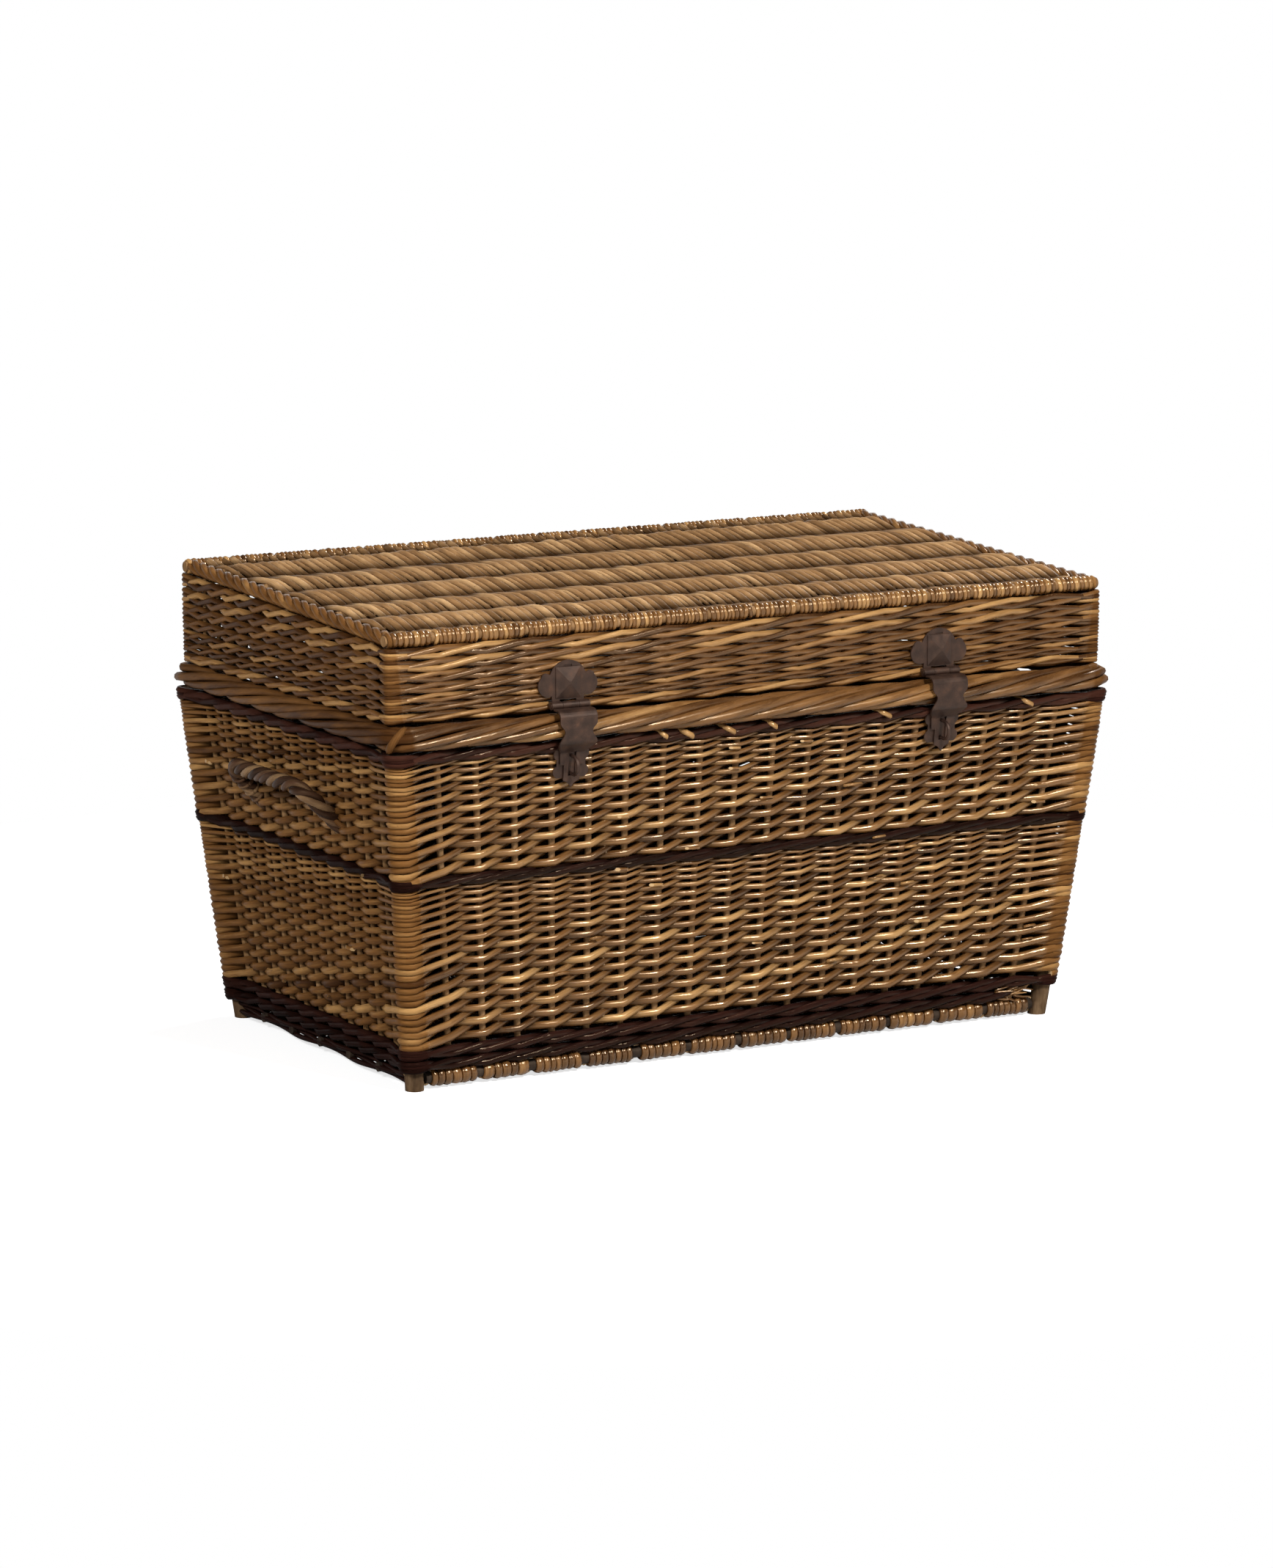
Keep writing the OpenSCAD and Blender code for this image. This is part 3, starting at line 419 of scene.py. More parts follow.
# %% Stations round the walls
class Walls:
    """Four walls numbered front, right, back, left, walked with the outside on the right hand. A rod takes
    a few steps from each station to the next."""
    steps = 6

    def __init__(self, half_x, half_y, stakes, height):
        self.half_x, self.half_y, self.stakes, self.height = half_x, half_y, stakes, height
        self.stations = [(wall, i) for wall in range(4) for i in range(stakes[wall] + 1)]

    def spot(self, wall, s, out, level):
        """A point: s from -1 to 1 along a wall, 'out' outside the stakes. Place and height depend on each
        other, so they are worked out twice."""
        z = level
        for _ in range(2):
            hx, hy = self.half_x(z), self.half_y(z)
            x, y = ((s * hx, -hy - out), (hx + out, s * hy), (-s * hx, hy + out), (-hx - out, -s * hy))[wall]
            z = self.height(level, y)
        return x, y, z

    def round_post(self, wall, post_out, level):
        """Five points round the outside of the post at the start of a wall."""
        before = (wall - 1) % 4
        x, y, z = self.spot(before, 1, 0, level)
        turns = [(before - 1 + part) * math.pi / 2 for part in (0, 0.25, 0.5, 0.75, 1)]
        return [(x + post_out * math.cos(turn), y + post_out * math.sin(turn), z) for turn in turns]

    def line(self, first, sides, levels, out, post_out):
        """Centre line of a rod past len(sides) stations from 'first' on, and how far out it lies, 0 to 1.
        A side is 1 outside a stake and -1 inside it, and always 1 at a post."""
        rows, deep = [], []
        for n, (side, level) in enumerate(zip(sides, levels)):
            wall, i = self.stations[(first + n) % len(self.stations)]
            gaps = self.stakes[wall] + 1
            if i == 0:
                rows += self.round_post(wall, post_out, level)
                deep += [1] * 5
            else:
                rows.append(self.spot(wall, 2 * i / gaps - 1, out * side, level))
                # The depth is 0 behind a stake and 1 in front of it; the willow recipe paints shade by it.
                deep.append(0.5 + 0.5 * side)
            if n == len(sides) - 1:
                break
            other, above = sides[n + 1], levels[n + 1]
            from_s, to_s = 2 * i / gaps - 1, 2 * (i + 1) / gaps - 1
            from_out = (post_out if i == 0 else out) * side
            to_out = (post_out if i + 1 == gaps else out) * other
            for t in (step / self.steps for step in range(1, self.steps)):
                ease = 0.6 * t + 0.2 * (1 - math.cos(math.pi * t))
                s, away = from_s + (to_s - from_s) * t, from_out + (to_out - from_out) * ease
                rows.append(self.spot(wall, s, away, level + (above - level) * t))
                deep.append(0.5 + 0.5 * (side + (other - side) * ease))
        rows = np.array(rows)
        rows[:, 2] += wavy(*rows.T) * 0.9 * mm
        return rows, np.clip(np.array(deep), 0, 1)

print("walls helper ready")

# %% The chest and the lid
wall_names = ("front", "right", "back", "left")
lid_foot, lid_front, lid_slope, lid_half_y = 0.4295, 0.4982, 0.03905, 0.2625

def lid_height(level, y):
    """A height in the lid's sloping wall, from level 0 at its foot to level 1 at its top."""
    return lid_foot + level * (lid_front + (y + lid_half_y) * lid_slope - lid_foot)

chest = Walls(lambda z: (foot_x + flare_x * z / rim_z) * mm, lambda z: (foot_y + flare_y * z / rim_z) * mm,
              (18, 11, 18, 11), lambda level, y: level)
lid_walls = Walls(lambda z: 453.5 * mm, lambda z: 255.5 * mm, (15, 13, 15, 13), lid_height)
print(len(chest.stations), "stations round the chest,", len(lid_walls.stations), "round the lid")

# %% [markdown]
# ## Randing
# Each band of the wall is French randing: one rod starts at every stake and climbs a row at each stake, in
# front of one and behind the next, until its tip reaches the top of the band. Plain rows laid one on
# another would look alike all over, but this weave is laid as it is worked. So the crossings stand level
# round the whole chest, the rows are thick at the butts and thin at the tips, and every rod leans up to the
# right.

# %% How full the rods lie
corner_reach = 16 * mm

def fuller(walls, line, deep, inside, at_corner):
    """A rod's share of thickness: fuller where it lies inside the wall, and slimmer round a corner."""
    x = np.abs(line[:, 0]) - np.array([walls.half_x(z) for z in line[:, 2]])
    y = np.abs(line[:, 1]) - np.array([walls.half_y(z) for z in line[:, 2]])
    corner = np.exp(-(x ** 2 + y ** 2) / corner_reach ** 2)
    return (1 + inside * (1 - deep)) * (1 - at_corner * corner)

def packed(line, deep):
    """How full randing lies, wall by wall: open in front, and closed at the right end and the back, through
    which light would show."""
    x, y = line[:, 0], line[:, 1]
    front, right, back = y < -0.215, x > 0.4, y > 0.21
    inside = np.where(front, 0.05, np.where(right, 0.9, 0.5))
    at_corner = np.where(right, np.where(y > -0.255, 0, 0.14), 0.22)
    return fuller(chest, line, deep, inside, at_corner) * np.where(right | back, 1.1, 1)

print("rods thin out within", corner_reach / mm, "mm of a corner")

# %% Randing bands
rand_out, post_gap, taper_power = 6.3 * mm, 10.5 * mm, 1.8
lifts = (0.72, 0.3, 0.25, 0.28)

def randing(name, low, high, butt, tip, nodes):
    """One band: rods that start side by side and climb together, all of them outside the corner posts.
    Inside a stake a rod is lifted by a share of its thickness, which 'lifts' gives for each wall."""
    rows = int(round((high - low) / (butt + (tip - butt) / (1 + taper_power))))
    rows -= rows % 2 == 0
    thick = butt + (tip - butt) * np.linspace(0, 1, rows) ** taper_power
    centre = low + (np.cumsum(thick) - thick / 2) * (high - low) / thick.sum()
    band = Bundle(name)
    for first in range(len(chest.stations)):
        passed = [chest.stations[(first + j) % len(chest.stations)] for j in range(rows)]
        sides = [1 if j % 2 or i == 0 else -1 for j, (_, i) in enumerate(passed)]
        lift = [lifts[wall] * thick[j] for j, (wall, _) in enumerate(passed)]
        levels = [centre[j] + (0 if sides[j] > 0 else lift[j]) for j in range(rows)]
        line, deep = chest.line(first, sides, levels, rand_out, post_gap + thick.mean() / 2)
        size = np.interp(np.linspace(0, 1, len(line)), np.linspace(0, 1, rows), thick / 2)
        size = size * np.clip(rng.normal(1.2, 0.07), 1.05, 1.35) * packed(line, deep)
        line[:, 2] += rng.normal(0, 0.25) * mm
        band.lay(line, size, (0, 0, 1), np.clip(rng.normal(0.52, 0.2), 0.05, 1), flat=0.86, deep=deep)
    print(rows, "rows in", name)
    band.make(brown_willow, "body", nodes)

randing("Lower_randing", 0.0470, 0.2350, 7.6 * mm, 3.2 * mm,
        ["lower_weave_" + side for side in wall_names] + ["corner_wraps"])
randing("Upper_randing", 0.2375, 0.3750, 7.3 * mm, 3.0 * mm,
        ["upper_weave_" + side for side in wall_names] + ["corner_wraps"])

# %% [markdown]
# ## Wales
# Dark, nearly black rods bind the wall at its foot, above the lower band and under the border. A wale could
# be a plain rope, but its strands would miss the stakes. Here three rods are worked together, as on the
# real one: each passes in front of two stakes and behind one, and rises a little as it does. The same
# stroke, in brown rods, makes the walls of the lid. The lowest round has snapped off at the front right
# foot.

# %% Waling
rods_at_once = 3
wale_inside, wale_corner, low_back_fuller = 0.45, 0.25, 1.25

def broken(line):
    """The two parts of a rod that has snapped off at the front right corner."""
    lost = (line[:, 0] > rng.uniform(0.352, 0.385)) & (line[:, 1] < rng.uniform(-0.214, -0.206))
    gone = np.flatnonzero(lost)
    return [slice(0, gone[0]), slice(gone[-1] + 1, len(line))] if len(gone) else [slice(0, len(line))]

def waling(bundle, walls, low, high, thick, tones, out, post_out, lean=1.0, snapped=()):
    """Rounds of wale between two levels, begun and ended in the back wall, a few stakes apart. 'thick' gives
    the rods' thickness for each round from the lowest up, and 'snapped' names the rounds that broke."""
    total = len(walls.stations)
    begin = walls.stations.index((2, 4))
    pitches = np.array(thick) / sum(thick) * (high - low)
    for turn, (size, pitch) in enumerate(zip(thick, pitches)):
        middle = low + pitches[:turn].sum() + pitch / 2
        for rod in range(rods_at_once):
            first = begin + rod + rods_at_once * ((turn * 5) % 3)
            sides, levels = [], []
            for n in range(total - total % rods_at_once + 1):
                place = n % rods_at_once
                at_post = walls.stations[(first + n) % total][1] == 0
                rise = lean * pitch * (place - rods_at_once / 2) / (rods_at_once - 1)
                sides.append(1 if place or at_post else -1)
                levels.append(middle + (rise if place else 0))
            line, deep = walls.line(first, sides, levels, out, post_out)
            width = size / 2 * np.clip(rng.normal(1, 0.07), 0.85, 1.15)
            width = width * fuller(walls, line, deep, wale_inside, wale_corner)
            low_at_back = (line[:, 1] > 0.2) & (line[:, 2] < 0.3)
            width = width * np.where(low_at_back, low_back_fuller, 1)
            line[:, 2] += rng.normal(0, 0.2) * mm
            tone = np.clip(rng.normal(*tones), 0, 1)
            for part in broken(line) if turn in snapped else [slice(0, len(line))]:
                bundle.lay(line[part], width[part], (0, 0, 1), tone, deep=deep[part], slant=0.8)

print("a wale is worked with", rods_at_once, "rods")

# %% Three wales of the chest
wales = {"bottom_wale": (0.0217, 0.0500, (8.0 * mm, 8.0 * mm), (0,)),
         "middle_wale": (0.2325, 0.2440, (8.0 * mm,), ()),
         "top_wale": (0.3730, 0.3868, (9.0 * mm,), ())}
for node, (low, high, thick, snapped) in wales.items():
    bundle = Bundle(node.capitalize() + "_rods")
    waling(bundle, chest, low, high, thick, (0.45, 0.3), 6.6 * mm, 13.8 * mm, snapped=snapped)
    bundle.make(dark_willow, "body", [node])

# %% Walls of the lid
lid_rods = Bundle("Lid_wall_rods")
lid_rounds = [mm * size for size in (5.4, 6.0, 6.6, 7.0, 7.2, 7.2)]
waling(lid_rods, lid_walls, 0.0, 1.03, lid_rounds, (0.38, 0.22), 4.3 * mm, 6.0 * mm, lean=1.25)
lid_rods.make(brown_willow, "lid", ["lid_wall_" + side for side in wall_names] + ["lid_corner_wraps"])

# %% [markdown]
# ## Border
# The stakes are bent over at the rim and rolled into a thick rope-like border. Each strand comes up from
# under the outer edge, leans along the rim, passes over the top and is tucked away inside. A twisted bar
# would give the rope but not its ends, so one strand after another is laid beside the last: the border
# reads as one long twist with pointed ends along its lower edge. The last strand leans round the corner
# nearest to the camera.

# %% Way round the rim
border_x, border_y, border_z = 0.469, 0.287, 0.4016
rim_x, rim_y, rim_bend = border_x - 15 * mm, border_y - 18.5 * mm, 9 * mm
rim_length = 4 * (rim_x - rim_bend + rim_y - rim_bend) + 2 * math.pi * rim_bend

def rim_path(s):
    """Centre line of the border at a distance s round the rim, its outward direction and its half width.
    The last corner takes what rounding leaves."""
    sides = [2 * (rim_x - rim_bend), 2 * (rim_y - rim_bend)] * 2
    arc = rim_bend * math.pi / 2
    s %= rim_length
    for k, length in enumerate(sides):
        angle = (k - 1) * math.pi / 2
        corner = np.array(((1, -1), (1, 1), (-1, 1), (-1, -1))[k]) * (rim_x - rim_bend, rim_y - rim_bend)
        out = np.array([math.cos(angle), math.sin(angle)])
        along = np.array([-out[1], out[0]])
        if s < length:
            return corner + out * rim_bend - along * (length - s), out, (13.6, 10.1)[k % 2] * mm
        s -= length
        if s < arc or k == 3:
            angle += s / rim_bend
            out = np.array([math.cos(angle), math.sin(angle)])
            return corner + out * rim_bend, out, 11.8 * mm
        s -= arc

print("the rim is", round(rim_length, 3), "m round")

# %% Rolled border
strands, strand_points = 46, 46
roll_from, roll_by, half_high = -88, 325, 10.4 * mm
border = Bundle("Rolled_border", 8)
t = np.linspace(0, 1, strand_points)
for strand in range(strands):
    start = (strand + rng.uniform(-0.12, 0.12)) * rim_length / strands
    lead = rng.normal(0.39, 0.02)
    line, hints = [], []
    for part in t:
        roll = math.radians(roll_from + roll_by * part)
        middle, out, half_wide = rim_path(start + lead * part)
        tuck = 1 - 1.6 * mm * max(0, 1 - part / 0.2) / half_wide
        reach, rise = half_wide * tuck * math.cos(roll), half_high * tuck * math.sin(roll)
        line.append((*(middle + out * reach), border_z + rise))
        hints.append((*(out * math.cos(roll)), math.sin(roll)))
    size = 4.9 * mm * np.interp(t, (0, 0.04, 0.12, 0.8, 1), (0.3, 0.75, 1, 0.95, 0.5)) * rng.normal(1, 0.1)
    # Each strand's depth drops at both ends, where it goes under the roll, so the recipe paints those ends in
    # shade.
    border.lay(line, size, np.array(hints), np.clip(rng.normal(0.22, 0.15), 0, 1),
               deep=np.interp(t, (0, 0.04, 0.22, 0.8, 1), (0.5, 0.8, 1, 1, 0.4)))

# %% Corner strand, and a dark core that paints shade inside the border
loop_at, loop_clear, loop_lean, loop_high = -7 * mm, 2.6 * mm, 7.65 * mm, 11.2 * mm
middle, out, half_wide = rim_path(loop_at)
along = np.array([-out[1], out[0]])
line = []
for angle in np.radians(np.linspace(-95, 215, 26)):
    reach, lean = (half_wide + loop_clear) * math.cos(angle), loop_lean * math.sin(angle)
    line.append((*(middle + out * reach + along * lean), border_z + loop_high * math.sin(angle)))
border.lay(line, 4.3 * mm, (*along, 0), 0.2)
# A dark tube inside the roll, with tone and depth 0, paints shade into the grooves between the strands.
shade_core = [(*rim_path(s)[0], border_z) for s in np.linspace(0, rim_length, 240, endpoint=False)]
border.lay(shade_core + shade_core[:1], 6.2 * mm, (0, 0, 1), 0.0, deep=0.0)
border.make(rim_willow, "body", ["border_" + side for side in wall_names])

# %% [markdown]
# ## Lid top
# The top is woven from front to back: pale weavers pass over one inner stick and under the next, and fine
# turns cover the stick at the front and back edge. A waved plate would show no gaps, so every weaver is a
# rod of its own. No two are equally thick, and they lie side by side, so the five inner sticks show as
# ridges from one end of the lid to the other. The base is woven in the same way, so both share these
# helpers.

# %% Sheets woven front to back
turn_in, sink = 30 * mm, 1.2 * mm

def weaver(x, side, sticks, steps=7):
    """The points of one weaver along y, over and under the sticks, which are (y, height, reach) each."""
    stops = [(y, h + reach * side * (-1 if k % 2 else 1)) for k, (y, h, reach) in enumerate(sticks)]
    points = []
    for (y_a, h_a), (y_b, h_b) in zip(stops[:-1], stops[1:]):
        for t in np.linspace(0, 1, steps, endpoint=False):
            ease = 0.35 * t + 0.325 * (1 - math.cos(math.pi * t))
            points.append((x, y_a + (y_b - y_a) * t, h_a + (h_b - h_a) * ease))
    return np.array([*points, (x, *stops[-1])])

def sheet(bundle, frame_of, x_first, x_last, count, sticks, radius, flat, tones):
    """Weavers side by side, each of its own width. The first and the last stick are the rails."""
    y_first, y_last = sticks[0][0], sticks[-1][0]
    stick_h, stick_reach = sticks[1][1:]
    share = np.clip(rng.normal(1, 0.18, count), 0.6, 1.2)
    for n, x in enumerate(x_first + (np.cumsum(share) - share / 2) / share.sum() * (x_last - x_first)):
        points = weaver(x, 1 if n % 2 else -1, sticks)
        y = points[:, 1]
        inside = np.clip(np.minimum(y - y_first, y_last - y) / turn_in, 0, 1)
        taper = np.interp(y, (y_first, y_last), (1.12, 0.88) if rng.random() < 0.5 else (0.88, 1.12))
        size = radius * taper * share[n]
        points[:, 0] += wavy(points[:, 0], y, points[:, 2] + n * 3 * mm) * 1.6 * mm * inside
        points[:, 2] -= (1 - size / radius) * sink * np.sign(points[:, 2] - stick_h)
        height = (points[:, 2] - stick_h) / stick_reach
        size = size * (0.92 + 0.12 * np.clip(np.abs(height), 0, 1))
        run = np.array([frame_of(*point) for point in points])
        tone = np.clip(rng.normal(*tones), 0, 1)
        # A weaver's depth follows its height over the sticks, so the recipe paints shade on the parts that
        # dip between them.
        bundle.lay(run, size, (1, 0, 0), tone, flat=flat, deep=np.interp(height, (0.12, 0.9), (0, 1)))

print("a weaver swerves freely", turn_in / mm, "mm in from the rails")

# %% Turns round a rail
def rail_loops(bundle, frame_of, rails, spans, count, radius, tones):
    """Close turns round each rail. Rails are (y, height, reach); every span from x to x holds a few turns."""
    for y, h, reach in rails:
        for x_first, x_last in spans:
            wide = rng.uniform(0.75, 1.25, max(2, count + int(rng.integers(-1, 2))))
            wide *= (x_last - x_first) / wide.sum()
            for place, half in zip(x_first + np.cumsum(wide) - wide / 2, wide / 2):
                out = reach + rng.normal(0, 0.25) * mm
                skew = rng.normal(0, 0.5) * mm
                line = [frame_of(place + skew * math.sin(a), y + out * math.cos(a), h + out * math.sin(a))
                        for a in np.radians(np.linspace(-100, 268, 22))]
                tone = np.clip(rng.normal(*tones), 0, 1)
                bundle.lay(line, half * 1.04, (1, 0, 0), tone, flat=radius / half)

print("turns helper ready")

# %% Top of the lid
lid_angle = math.atan(20.5 / 525)
lid_run, lid_top_z = 0.5254, 0.5185
top_weavers, top_half = 172, 0.4400

def on_lid(x, y, h):
    """A point of the lid's top: y up the slope from the front edge, h square to it."""
    along, square = math.cos(lid_angle), math.sin(lid_angle)
    return x, -lid_half_y + y * along - h * square, lid_top_z + y * square + h * along

edge_sticks = [(y, -10.5 * mm, 5.6 * mm) for y in (13 * mm, lid_run - 13 * mm)]
ridge_sticks = [(lid_run / 2 + y * mm, -9.3 * mm, 6.9 * mm) for y in (-182, -103, -5, 84, 190)]
lid_top = Bundle("Lid_top_weave")
sheet(lid_top, on_lid, -top_half, top_half, top_weavers, [edge_sticks[0], *ridge_sticks, edge_sticks[1]],
      3.6 * mm, 0.82, (0.53, 0.2))
lid_top.make(pale_willow, "lid", ["lid_weave"])

# %% Fine turns round the lid's rails
rail_half, groups = 0.4605, 16
group = 2 * rail_half / groups
spans = [(-rail_half + (g + 0.04) * group, -rail_half + (g + 0.96) * group) for g in range(groups)]
rails = [(y, -10 * mm, 6.7 * mm) for y in (10 * mm, lid_run - 10 * mm)]
loops = Bundle("Lid_rail_loops")
rail_loops(loops, on_lid, rails, spans, 9, 2.3 * mm, (0.48, 0.22))
loops.make(brown_willow, "lid", ["lid_rail_wraps"])

# %% [markdown]
# ## Ends and foot of the lid
# Along each end of the lid's top runs a plait of four rods, and the lid's walls end below in thicker rods,
# whose slanted cut ends show here and there. The plait could be a row of beads, but four rods that wind
# round one another give its edge the right steps. The foot is one more round of waling.

# %% Plaited end edges
plait_x, plait_pitch, plait_strands = 0.4512, 88 * mm, 4
plait = Bundle("Lid_end_plait_rods")
for side in (-1, 1):
    for strand in range(plait_strands):
        line = []
        for y in np.linspace(12 * mm, lid_run - 12 * mm, 150):
            turn = side * 2 * math.pi * (y / plait_pitch + strand / plait_strands)
            x = side * (plait_x + 4.9 * mm * math.sin(turn))
            line.append(on_lid(x, y, (-9.7 + 4.7 * math.cos(turn)) * mm))
        plait.lay(line, 4.3 * mm * rng.uniform(0.9, 1.0), (0, 0, 1), rng.uniform(0.25, 0.6), slant=0.5)
plait.make(brown_willow, "lid", ["lid_end_plaits"])

# %% Lower edge of the lid
edge_walls = Walls(lambda z: 452.8 * mm, lambda z: 254.8 * mm, lid_walls.stakes, lambda level, y: level)
edge = Bundle("Lid_edge_rods")
waling(edge, edge_walls, 0.4172, 0.4296, (7.2 * mm,), (0.5, 0.2), 4.6 * mm, 6.0 * mm)
edge.make(brown_willow, "lid", ["lid_edge"])

# %% [markdown]
# ## Base
# The base is a flat mat between the corner posts: weavers pass over and under five sticks and turn round a
# dark stick at the front and back, in groups, so that the dark stick shows between them. It is seldom seen,
# but a plain board would show through the open weave near the floor, so it is woven as the lid is. Dark
# rods lie along its two ends.

# %% Base mat
def level_mat(x, y, h):
    """The base lies level, so its own places are the world's."""
    return x, y, h

base_rail_y, base_z = 0.2196, 13.25 * mm
base_sticks = [((i / 3 - 1) * base_rail_y, base_z, 6.6 * mm) for i in range(7)]
mat = Bundle("Base_mat")
sheet(mat, level_mat, -0.400, 0.400, 110, base_sticks, 4.6 * mm, 0.6, (0.35, 0.18))
mat.make(brown_willow, "body", ["base_weave"])

# %% Turns round the base's edge sticks
base_half, base_groups = 0.3974, 12
base_group = 2 * base_half / base_groups
base_spans = []
for g in range(base_groups):
    left = -base_half + (g + rng.uniform(0.04, 0.10)) * base_group
    base_spans.append((left, -base_half + (g + rng.uniform(0.90, 0.97)) * base_group))
base_loops = Bundle("Base_edge_loops", 8)
base_rails = [(y, base_z, 7.6 * mm) for y in (-base_rail_y, base_rail_y)]
rail_loops(base_loops, level_mat, base_rails, base_spans, 6, 3.0 * mm, (0.22, 0.2))
base_loops.make(brown_willow, "body", ["base_rail_wraps"])

# %% Dark rods along the ends of the base
end_x, sway_pitch = 0.4135, 0.146
end_rods = Bundle("Base_end_rods")
y = np.linspace(-0.214, 0.214, 60)
for side in (-1, 1):
    for n, z in enumerate((9.5, 13.5, 17.5)):
        turn = y * 2 * math.pi / sway_pitch + n * 2.1
        line = np.stack([side * (end_x + 2.8 * mm * np.sin(turn)), y, (z + 1.2 * np.cos(turn)) * mm], -1)
        end_rods.lay(line, 2.9 * mm, (0, 0, 1), rng.uniform(0.3, 0.6), slant=0.8)
end_rods.make(dark_willow, "body", [])

# %% [markdown]
# ## Handles
# Each handle is a bow of stout willow with four rods about as thick twisted round it like a rope, and its
# back end is bound with a few close turns. A twisted ring would be quicker to make, but the rods of a real
# rope differ, so each one winds by itself, two dark and two light, and drifts a little. The bow's ends pass
# through the wall.

# %% Bow of a handle
bow_tilt, bow_z = math.radians(46), 0.280
bow_half, bow_bend, bow_deep, bow_foot = 98, 30, 62, -14

def bow_point(side, a, b):
    """A point of the bow's own plane: a along the wall, b out along the bow's tilt."""
    reach, rise = b * math.cos(bow_tilt), b * math.sin(bow_tilt)
    return np.array([side * (chest.half_x(bow_z) + reach), a, bow_z + rise])

def bow_line(side):
    """The handle's centre line from its front end to its back end."""
    flat, knee = bow_half - bow_bend, bow_deep - bow_bend
    bend = np.linspace(0, math.pi / 2, 8)[1:]
    spots = [(-bow_half, b) for b in np.linspace(bow_foot, knee, 8)]
    spots += [(-flat - bow_bend * math.cos(t), knee + bow_bend * math.sin(t)) for t in bend]
    spots += [(a, bow_deep) for a in np.linspace(-flat, flat, 20)[1:]]
    spots += [(flat + bow_bend * math.sin(t), knee + bow_bend * math.cos(t)) for t in bend]
    spots += [(bow_half, b) for b in np.linspace(knee, bow_foot, 8)[1:]]
    return np.array([bow_point(side, a * mm, b * mm) for a, b in spots])

def resample(line, count):
    """The same line with evenly spaced points, and how far along it each lies."""
    length = lengths(line)
    even = np.linspace(0, length[-1], count)
    return np.stack([np.interp(even, length, line[:, axis]) for axis in range(3)], -1), even

print("a handle is", round(lengths(bow_line(1))[-1] / mm), "mm long")

# %% Roped handles
rope_pitch, rope_tones = 70 * mm, (0.12, 0.55, 0.2, 0.75)
core_radius, strand_radius, strand_out = 4.2 * mm, 4.5 * mm, 5.3 * mm
bound_places, bound_radius, bound_out = (99, 103, 107, 111), 2.2 * mm, 8.4 * mm
for side, name in ((-1, "left"), (1, "right")):
    line, along = resample(bow_line(side), 120)
    run = directions(line)
    plane = np.array([-side * math.sin(bow_tilt), 0, math.cos(bow_tilt)])
    across = np.cross(run, plane)
    handle = Bundle("Handle_rods_" + name, 8)
    # The bow lies inside the rope; a depth of one half paints it in partial shade.
    handle.lay(line, core_radius, plane, 0.2, deep=0.5)
    for strand, tone in enumerate(rope_tones):
        drift = 0.35 * np.sin(along * 40 + strand * 2.1)
        turn = 2 * math.pi * (along / rope_pitch + strand / len(rope_tones)) + drift
        off = across * np.cos(turn)[:, None] + plane * np.sin(turn)[:, None]
        handle.lay(line + off * strand_out, strand_radius * rng.uniform(0.9, 1.0), off, tone, slant=0.5)
    for k, place in enumerate(bound_places):
        angle = np.radians(np.linspace(-10 * k, 360 - 10 * k, 22))
        middle = line[place] + run[place] * np.sin(angle + k)[:, None] * 1.4 * mm
        ring = middle + (across[place] * np.cos(angle)[:, None] + plane * np.sin(angle)[:, None]) * bound_out
        handle.lay(ring, bound_radius, run[place], rng.uniform(0.4, 0.9))
    handle.make(handle_willow, "body", ["handle_" + name])

# %% [markdown]
# ## Loose ends
# Old willow is never whole. The rope frays a little where it enters the wall, rods have worked loose here
# and there, the broken wale at the front right foot ends in splinters, and a few stakes end in short stubs
# under the border. Roughness in the material alone would be too even, so these are rods too, short and
# strewn by a seeded chance.

# %% Frayed rope and loose rods
loose = Bundle("Loose_ends")
for side in (-1, 1):
    root = bow_point(side, -bow_half * mm, 14 * mm)
    for a, b in ((-118, -6), (-80, -5)):
        tip = bow_point(side, a * mm, b * mm)
        bend = (root + tip) / 2 + np.array([side * 5, 0, 3]) * mm
        t = np.linspace(0, 1, 10)[:, None]
        loose.lay(root * (1 - t) ** 2 + bend * 2 * t * (1 - t) + tip * t ** 2, 3.4 * mm, (0, 0, 1), 0.2)
loose_rods, loose_walls = 46, (0, 0, 3, 0, 1, 2)
for n in range(loose_rods):
    wall = loose_walls[n % len(loose_walls)]
    gaps = chest.stakes[wall] + 1
    s, z = rng.integers(1, gaps) * 2 / gaps - 1, rng.uniform(0.07, 0.36)
    long, way = rng.uniform(9, 20) * mm / chest.half_x(z), rng.choice((-1, 1))
    line = [chest.spot(wall, s + way * long * t, out * mm, z + 1.5 * mm * t)
            for t, out in ((0, 9.4), (0.5, 10.6), (1, 12.2))]
    loose.lay(line, rng.uniform(1.1, 2.2) * mm, (0, 0, 1), rng.uniform(0.4, 0.9), slant=1.2)
loose.make(brown_willow, "body", [])

# %% Splinters of the broken wale
splinter_count = 14
splinters = Bundle("Broken_wale_tips")
t = np.linspace(0, 1, 7)[:, None]
for n in range(splinter_count):
    x, z = rng.uniform(0.345, 0.378), rng.uniform(0.023, 0.037)
    start = np.array([x, -chest.half_y(z) - 5 * mm, z])
    way = np.array([rng.uniform(12, 26), rng.uniform(-7, 3), rng.uniform(-6, 7)]) * mm
    bow = np.array([0, rng.uniform(-3, 1), rng.uniform(-2, 3)]) * mm
    size = np.linspace(1.9, 0.7, len(t)) * mm
    splinters.lay(start + way * t + bow * t * t, size, (0, 0, 1), rng.uniform(0.0, 0.6), slant=1.0)
splinters.make(brown_willow, "body", [])

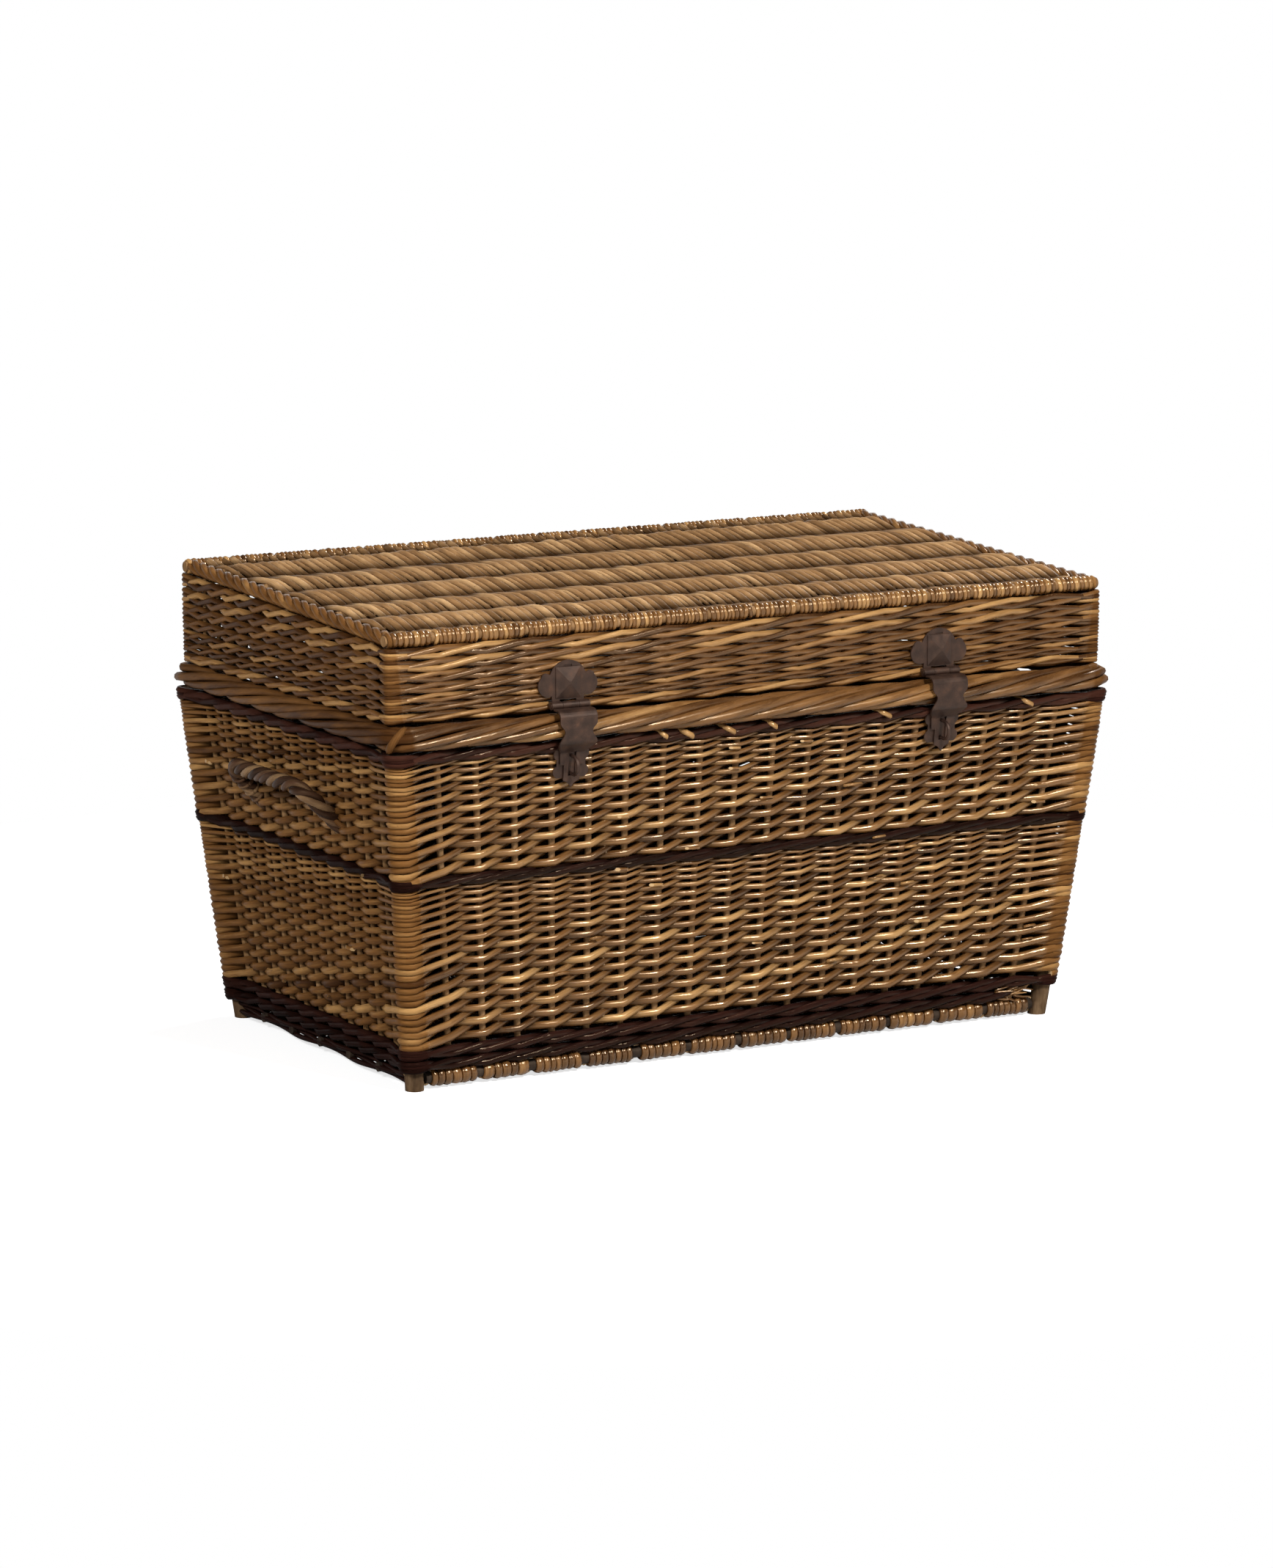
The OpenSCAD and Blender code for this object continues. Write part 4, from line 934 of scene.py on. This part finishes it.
# %% Stubs of stakes under the border
stub_places = (-0.128, -0.098, -0.045, 0.012, 0.158, 0.35)
stubs = Bundle("Stake_stubs", 8)
for x in stub_places:
    high, skew = rng.uniform(383, 386.5) * mm, rng.uniform(0.004, 0.010)
    line = [(x - skew, -0.262, high + 5 * mm), (x, -0.272, high), (x + skew, -0.2805, high - 4.5 * mm)]
    stubs.lay(line, rng.uniform(2.7, 3.4) * mm, (0, 0, 1), 0.9, slant=1.0)
stubs.make(brown_willow, "body", [])

# %% [markdown]
# ## Solids that keep their shape
# Stakes, posts, sticks and ironwork already have their true shape, so they aren't modelled again: they only
# get their finish. The iron is thin old plate, dark brown with rust that comes and goes in patches. It
# could be painted bare metal, but rust hardly shines, so it is mostly a dull brown with a little metal in
# it.

# %% Rusted iron
rust = ((0.36, (0.020, 0.0105, 0.0078)), (0.55, (0.036, 0.0185, 0.0125)), (0.72, (0.062, 0.029, 0.017)))
pitting = ((0.3, (0.6, 0.6, 0.6)), (0.7, (1.2, 1.15, 1.1)))
rusted_iron = bpy.data.materials.new("Rusted_iron")
paint = Paint(rusted_iron)
place = paint.add("TexCoord", {}, "Object")
patches = paint.noise(place, 90.0, 5.0)
pits = paint.noise(place, 900.0, 3.0)
rough_skin = paint.mix("MIX", 0.5, patches, pits)
bump = paint.add("Bump", {"Strength": 0.5, "Distance": 0.0005, "Height": rough_skin})
paint.fill(paint.nodes["Principled BSDF"], {
    "Base Color": paint.mix("MULTIPLY", 0.4, paint.ramp(patches, rust), paint.ramp(pits, pitting)),
    "Metallic": 0.2, "Specular Tint": (1.0, 0.78, 0.64, 1),
    "Roughness": paint.scaled(patches, 0.3, 0.7, 0.36, 0.6), "Normal": bump})
print("iron finish ready")

# %% Finishes on solids
dressed = (
    (post_willow, ("stakes_front", "stakes_right", "stakes_back", "stakes_left",
                   "lid_rails", "lid_sticks", "lid_posts", "lid_stakes")),
    (foot_wood, ("corner_posts",)),
    (dark_stick, ("base_rails", "base_sticks")),
    (rusted_iron, ("staple_plates", "staples", "hinge_straps", "hinge_nails", "hasp_plates", "hasp_pins",
                   "hinge_plates", "hinge_pins", "hasp_left", "hasp_right")))
for finish, nodes in dressed:
    for node in nodes:
        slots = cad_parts[node].data.materials
        slots.clear()
        slots.append(finish)
    print(finish.name, "on", len(nodes), "solids")
